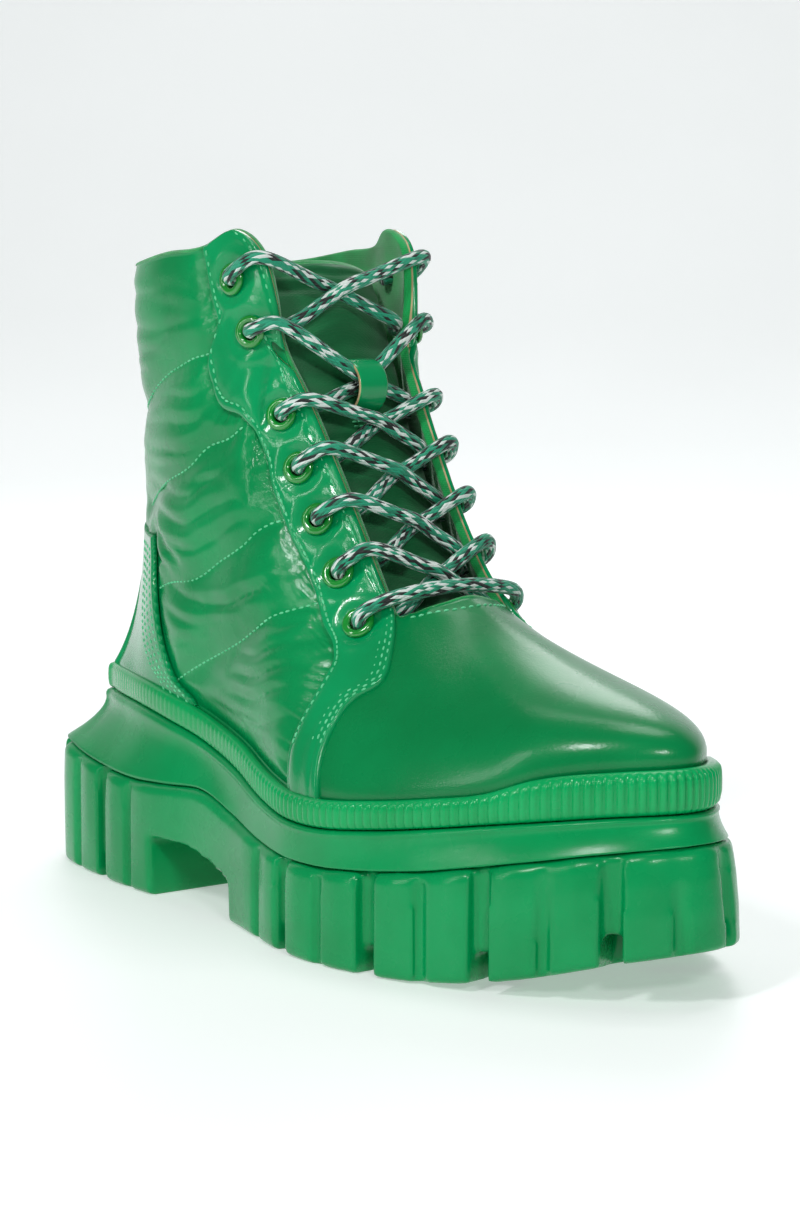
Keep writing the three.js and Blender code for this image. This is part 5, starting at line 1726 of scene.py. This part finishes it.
@dataclass
class Lace:
    """One round lace through all fourteen eyelets; its ends stop inside at the top pair."""

    finishes: Finishes
    tongue: Tongue
    radius: float = 2.15
    over_ring: float = 5.3
    over_edge: float = 4.35
    on_tongue: float = 2.6
    wall: float = 2.6

    # Strand that lies on top at each crossing, and the crossing that the loop holds
    ON_TOP: ClassVar[tuple[Side, ...]] = (Side.INNER, *[Side.OUTER] * 5)
    KEPT: ClassVar[int] = 1

    def edge_beside(self, side: Side, row: int) -> Array:
        """Point of the free edge straight in front of an eyelet.

        Args:
            side: Side of the boot.
            row: Row of the eyelet, from the top.

        Returns:
            The point.
        """
        frames = FRAMES[side]
        line = frames[min(row + 1, 6)][0] - frames[max(row - 1, 0)][0]
        line = unit(np.array([line[0], 0, line[2]]))
        turns = np.arange(.39, .66, .002)
        laps = side.lap(turns)
        points = LAST.surface(laps, np.ones_like(laps))
        return points[np.abs((points - frames[row][0]) @ line).argmin()]

    def leave(self, side: Side, row: int) -> list[Array]:
        """Points from inside the boot through an eyelet and over the facing's edge.

        Args:
            side: Side that the lace leaves.
            row: Row of the eyelet, from the top.

        Returns:
            Points of the route.
        """
        centre, normal = FRAMES[side][row]
        edge = self.edge_beside(side, row)
        out = unit(edge - centre)
        return [centre - normal * (self.wall + 2.6), centre - normal * .5, centre + normal * 2.3 + out * .25,
                centre + normal * (self.over_ring - .9) + out * 1.6,
                centre + normal * self.over_ring + out * 4.4,
                edge + normal * self.over_edge + out * .6]

    def cross(self, side: Side, row: int) -> list[Array]:
        """Points across the tongue and under the opposite edge.

        Args:
            side: Side that the lace comes from.
            row: Row that it leaves.

        Returns:
            Points of the route.
        """
        other = Side(-side.value)
        start = self.leave(side, row)[-1]
        under = self.edge_beside(other, row + 1) - FRAMES[other][row + 1][1] * self.wall
        under[1] -= math.copysign(self.radius + .6, under[1] - LAST.shaft_shift)
        middle = (start + under) / 2
        middle[1] = LAST.shaft_shift
        kept = row == self.KEPT
        share = self.tongue.share_at(LAST.height * self.tongue.keeper_z if kept else middle[2])
        base, _, normal = self.tongue.middle(share)
        natural = 0.0 if kept else float((middle - base) @ normal)
        low = max(self.on_tongue, natural - self.radius)
        height = low + (2 * self.radius - .05 if self.ON_TOP[row] is side else 0)
        spot = base + normal * height
        if not kept:
            spot = middle + normal * (height - natural)
        near = spot + (start - spot) * .3 + normal * .4
        far = spot + (under - spot) * .35
        return [near, spot, far, under]

    def half(self, side: Side) -> list[Array]:
        """Points of half the lace, from the top eyelet of one side down to a lowest eyelet.

        Args:
            side: Side of the top eyelet.

        Returns:
            Points of the route.
        """
        points: list[Array] = []
        for row in range(6):
            points += self.leave(side, row) + self.cross(side, row)
            side = Side(-side.value)
        return points + self.leave(side, 6)

    def build(self) -> bpy.types.Object:
        """Sweep the braid along its route.

        Returns:
            The piece.
        """
        left, right = self.half(Side.OUTER), self.half(Side.INNER)
        crown = (left[-1] + right[-1]) / 2 + np.array([2.2, 0, 2.6])
        route = np.array(left + [crown] + right[::-1])
        steps = np.sqrt(np.linalg.norm(np.diff(route, axis=0), axis=1))
        knots = np.concatenate([[0], np.cumsum(steps)])
        fine = Table(np.column_stack([knots, route]))(np.linspace(0, knots[-1], 9000))
        arc = run_length(fine)
        places = np.linspace(0, arc[-1], int(arc[-1] / .7))
        path = np.column_stack([np.interp(places, arc, fine[:, k]) for k in range(3)])
        for _ in range(3):
            path[1:-1] = .25 * path[:-2] + .5 * path[1:-1] + .25 * path[2:]
        tangent = unit(np.gradient(path, axis=0))
        frame_up = np.zeros_like(path)
        up = unit(np.cross(tangent[0], np.array([0, 1.0, 0])))
        for i, direction in enumerate(tangent):
            up = unit(up - direction * (up @ direction))
            frame_up[i] = up
        side = np.cross(tangent, frame_up)
        sides = 18
        angles = np.linspace(0, 2 * math.pi, sides + 1)
        twist = places[:, None] * 2.4
        weave = 1 + .025 * np.sin(twist + 3 * angles) * np.sin(twist - 3 * angles)
        slack = 1 + .03 * ripple(places, 24, 3)[:, None]
        reach = self.radius * weave * slack
        rings = path[:, None] + reach[..., None] * (np.cos(angles)[None, :, None] * frame_up[:, None]
                                                   + np.sin(angles)[None, :, None] * side[:, None])
        gather = Gather()
        index = gather.add(rings)
        gather.grid(index)
        for ring in (index[0], index[-1]):
            gather.grid(np.stack([ring[:sides // 2 + 1], ring[:sides // 2 - 1:-1]]))
        along = np.repeat(places[:, None], sides + 1, 1)
        round_it = np.repeat((angles * self.radius)[None], len(places), 0)
        piece = gather.finish("round_lace", [self.finishes.braid],
                              uv=np.stack([along, round_it], -1).reshape(-1, 2))
        return report(piece, "lace", *[f"lace_crossing_{k}" for k in range(1, 7)], "lace_bar")


class Studio:
    """Pale floor, soft lights and the camera."""

    @staticmethod
    def light(name: str, place: tuple[float, float, float], size: float, watts: float, tall: float = 0,
              aim: tuple[float, float, float] = (0, 0, .08)) -> None:
        """Add a soft rectangular light that faces the boot, or another place.

        Args:
            name: Name of the light.
            place: Where it stands, in metres.
            size: Width.
            watts: Power.
            tall: Height, where it isn't the width.
            aim: Point that it faces.
        """
        lamp = bpy.data.lights.new(name, "AREA")
        lamp.shape = "RECTANGLE"
        lamp.size, lamp.size_y, lamp.energy = size, tall or size, watts
        holder = bpy.data.objects.new(name, lamp)
        holder.location = place
        holder.rotation_euler = (Vector(aim) - Vector(place)).to_track_quat("-Z", "Y").to_euler()
        bpy.context.scene.collection.objects.link(holder)

    def build(self, finishes: Finishes) -> None:
        """Make floor, lights, world and camera.

        Args:
            finishes: Gives the floor's finish.
        """
        reach, radius, behind = 4.0, 1.4, 1.5
        back = np.array([-.76, .65])
        profile = [(-reach, 0.0)] + [(behind + radius * math.sin(a), radius * (1 - math.cos(a)))
                                     for a in np.linspace(0, math.pi / 2, 24)] + [(behind + radius, reach)]
        sweep = [[(*(back * away + np.array([back[1], -back[0]]) * aside), up) for aside in (-reach, reach)]
                 for away, up in profile]
        mesh = bpy.data.meshes.new("studio_floor")
        mesh.from_pydata([tuple(map(float, p)) for pair in sweep for p in pair], [],
                         [(2 * i, 2 * i + 1, 2 * i + 3, 2 * i + 2) for i in range(len(sweep) - 1)])
        mesh.polygons.foreach_set("use_smooth", [True] * len(mesh.polygons))
        mesh.materials.append(finishes.floor)
        floor = bpy.data.objects.new("studio_floor", mesh)
        bpy.context.scene.collection.objects.link(floor)
        self.light("key", (.35, -1.1, 1.25), .17, 9.5, .3)
        self.light("strip", (-.15, -1.35, .6), .07, 3.2, .9)
        self.light("front", (1.05, -.45, .62), .2, 4, .12)
        self.light("top", (-.1, .3, 1.7), .5, 4)
        self.light("rear", (-1.0, .9, 1.1), .6, 4)
        self.light("backdrop", (-.6, .5, 2.2), 1.6, 20, .6, (-2.4, 2.05, .6))
        world = bpy.data.worlds.new("studio")
        world.use_nodes = True
        world.node_tree.nodes["Background"].inputs["Color"].default_value = srgb("#f6f8f8")
        world.node_tree.nodes["Background"].inputs["Strength"].default_value = .15
        bpy.context.scene.world = world
        bpy.context.scene.view_settings.view_transform = "Standard"
        data = bpy.data.cameras.new("camera")
        data.lens, data.sensor_width, data.sensor_fit = 92.0, 36.0, "AUTO"
        camera = bpy.data.objects.new("camera", data)
        place, aim = Vector((.7482, -.5601, .2079)), Vector((.004, .0035, .0962))
        camera.location = place
        camera.rotation_euler = (aim - place).to_track_quat("-Z", "Y").to_euler()
        bpy.context.scene.collection.objects.link(camera)
        bpy.context.scene.camera = camera


def main() -> None:
    """Build every sub-assembly in order."""
    logging.basicConfig(level=logging.INFO, format="%(message)s")
    finishes = Finishes()
    Studio().build(finishes)
    sole = Sole(finishes)
    sole.build_outsole()
    sole.build_midsole()
    sole.build_rand()
    sole.build_foot_bed()
    quilt_thread = Stitches("quilt_stitching")
    leather_thread = Stitches("leather_stitching")
    Upper(finishes).build(quilt_thread)
    for side in Side:
        Eyestay(side, finishes).build(leather_thread)
    Counter(finishes).build(leather_thread)
    tongue = Tongue(finishes)
    tongue.build_pad()
    tongue.build_keeper(leather_thread)
    Hardware(finishes).build()
    Lace(finishes, tongue).build()
    for thread, slot in ((quilt_thread, "upper"), (leather_thread, "overlay")):
        report(thread.gather.finish(thread.name, [finishes.thread]), slot)


if __name__ == "__main__":
    main()
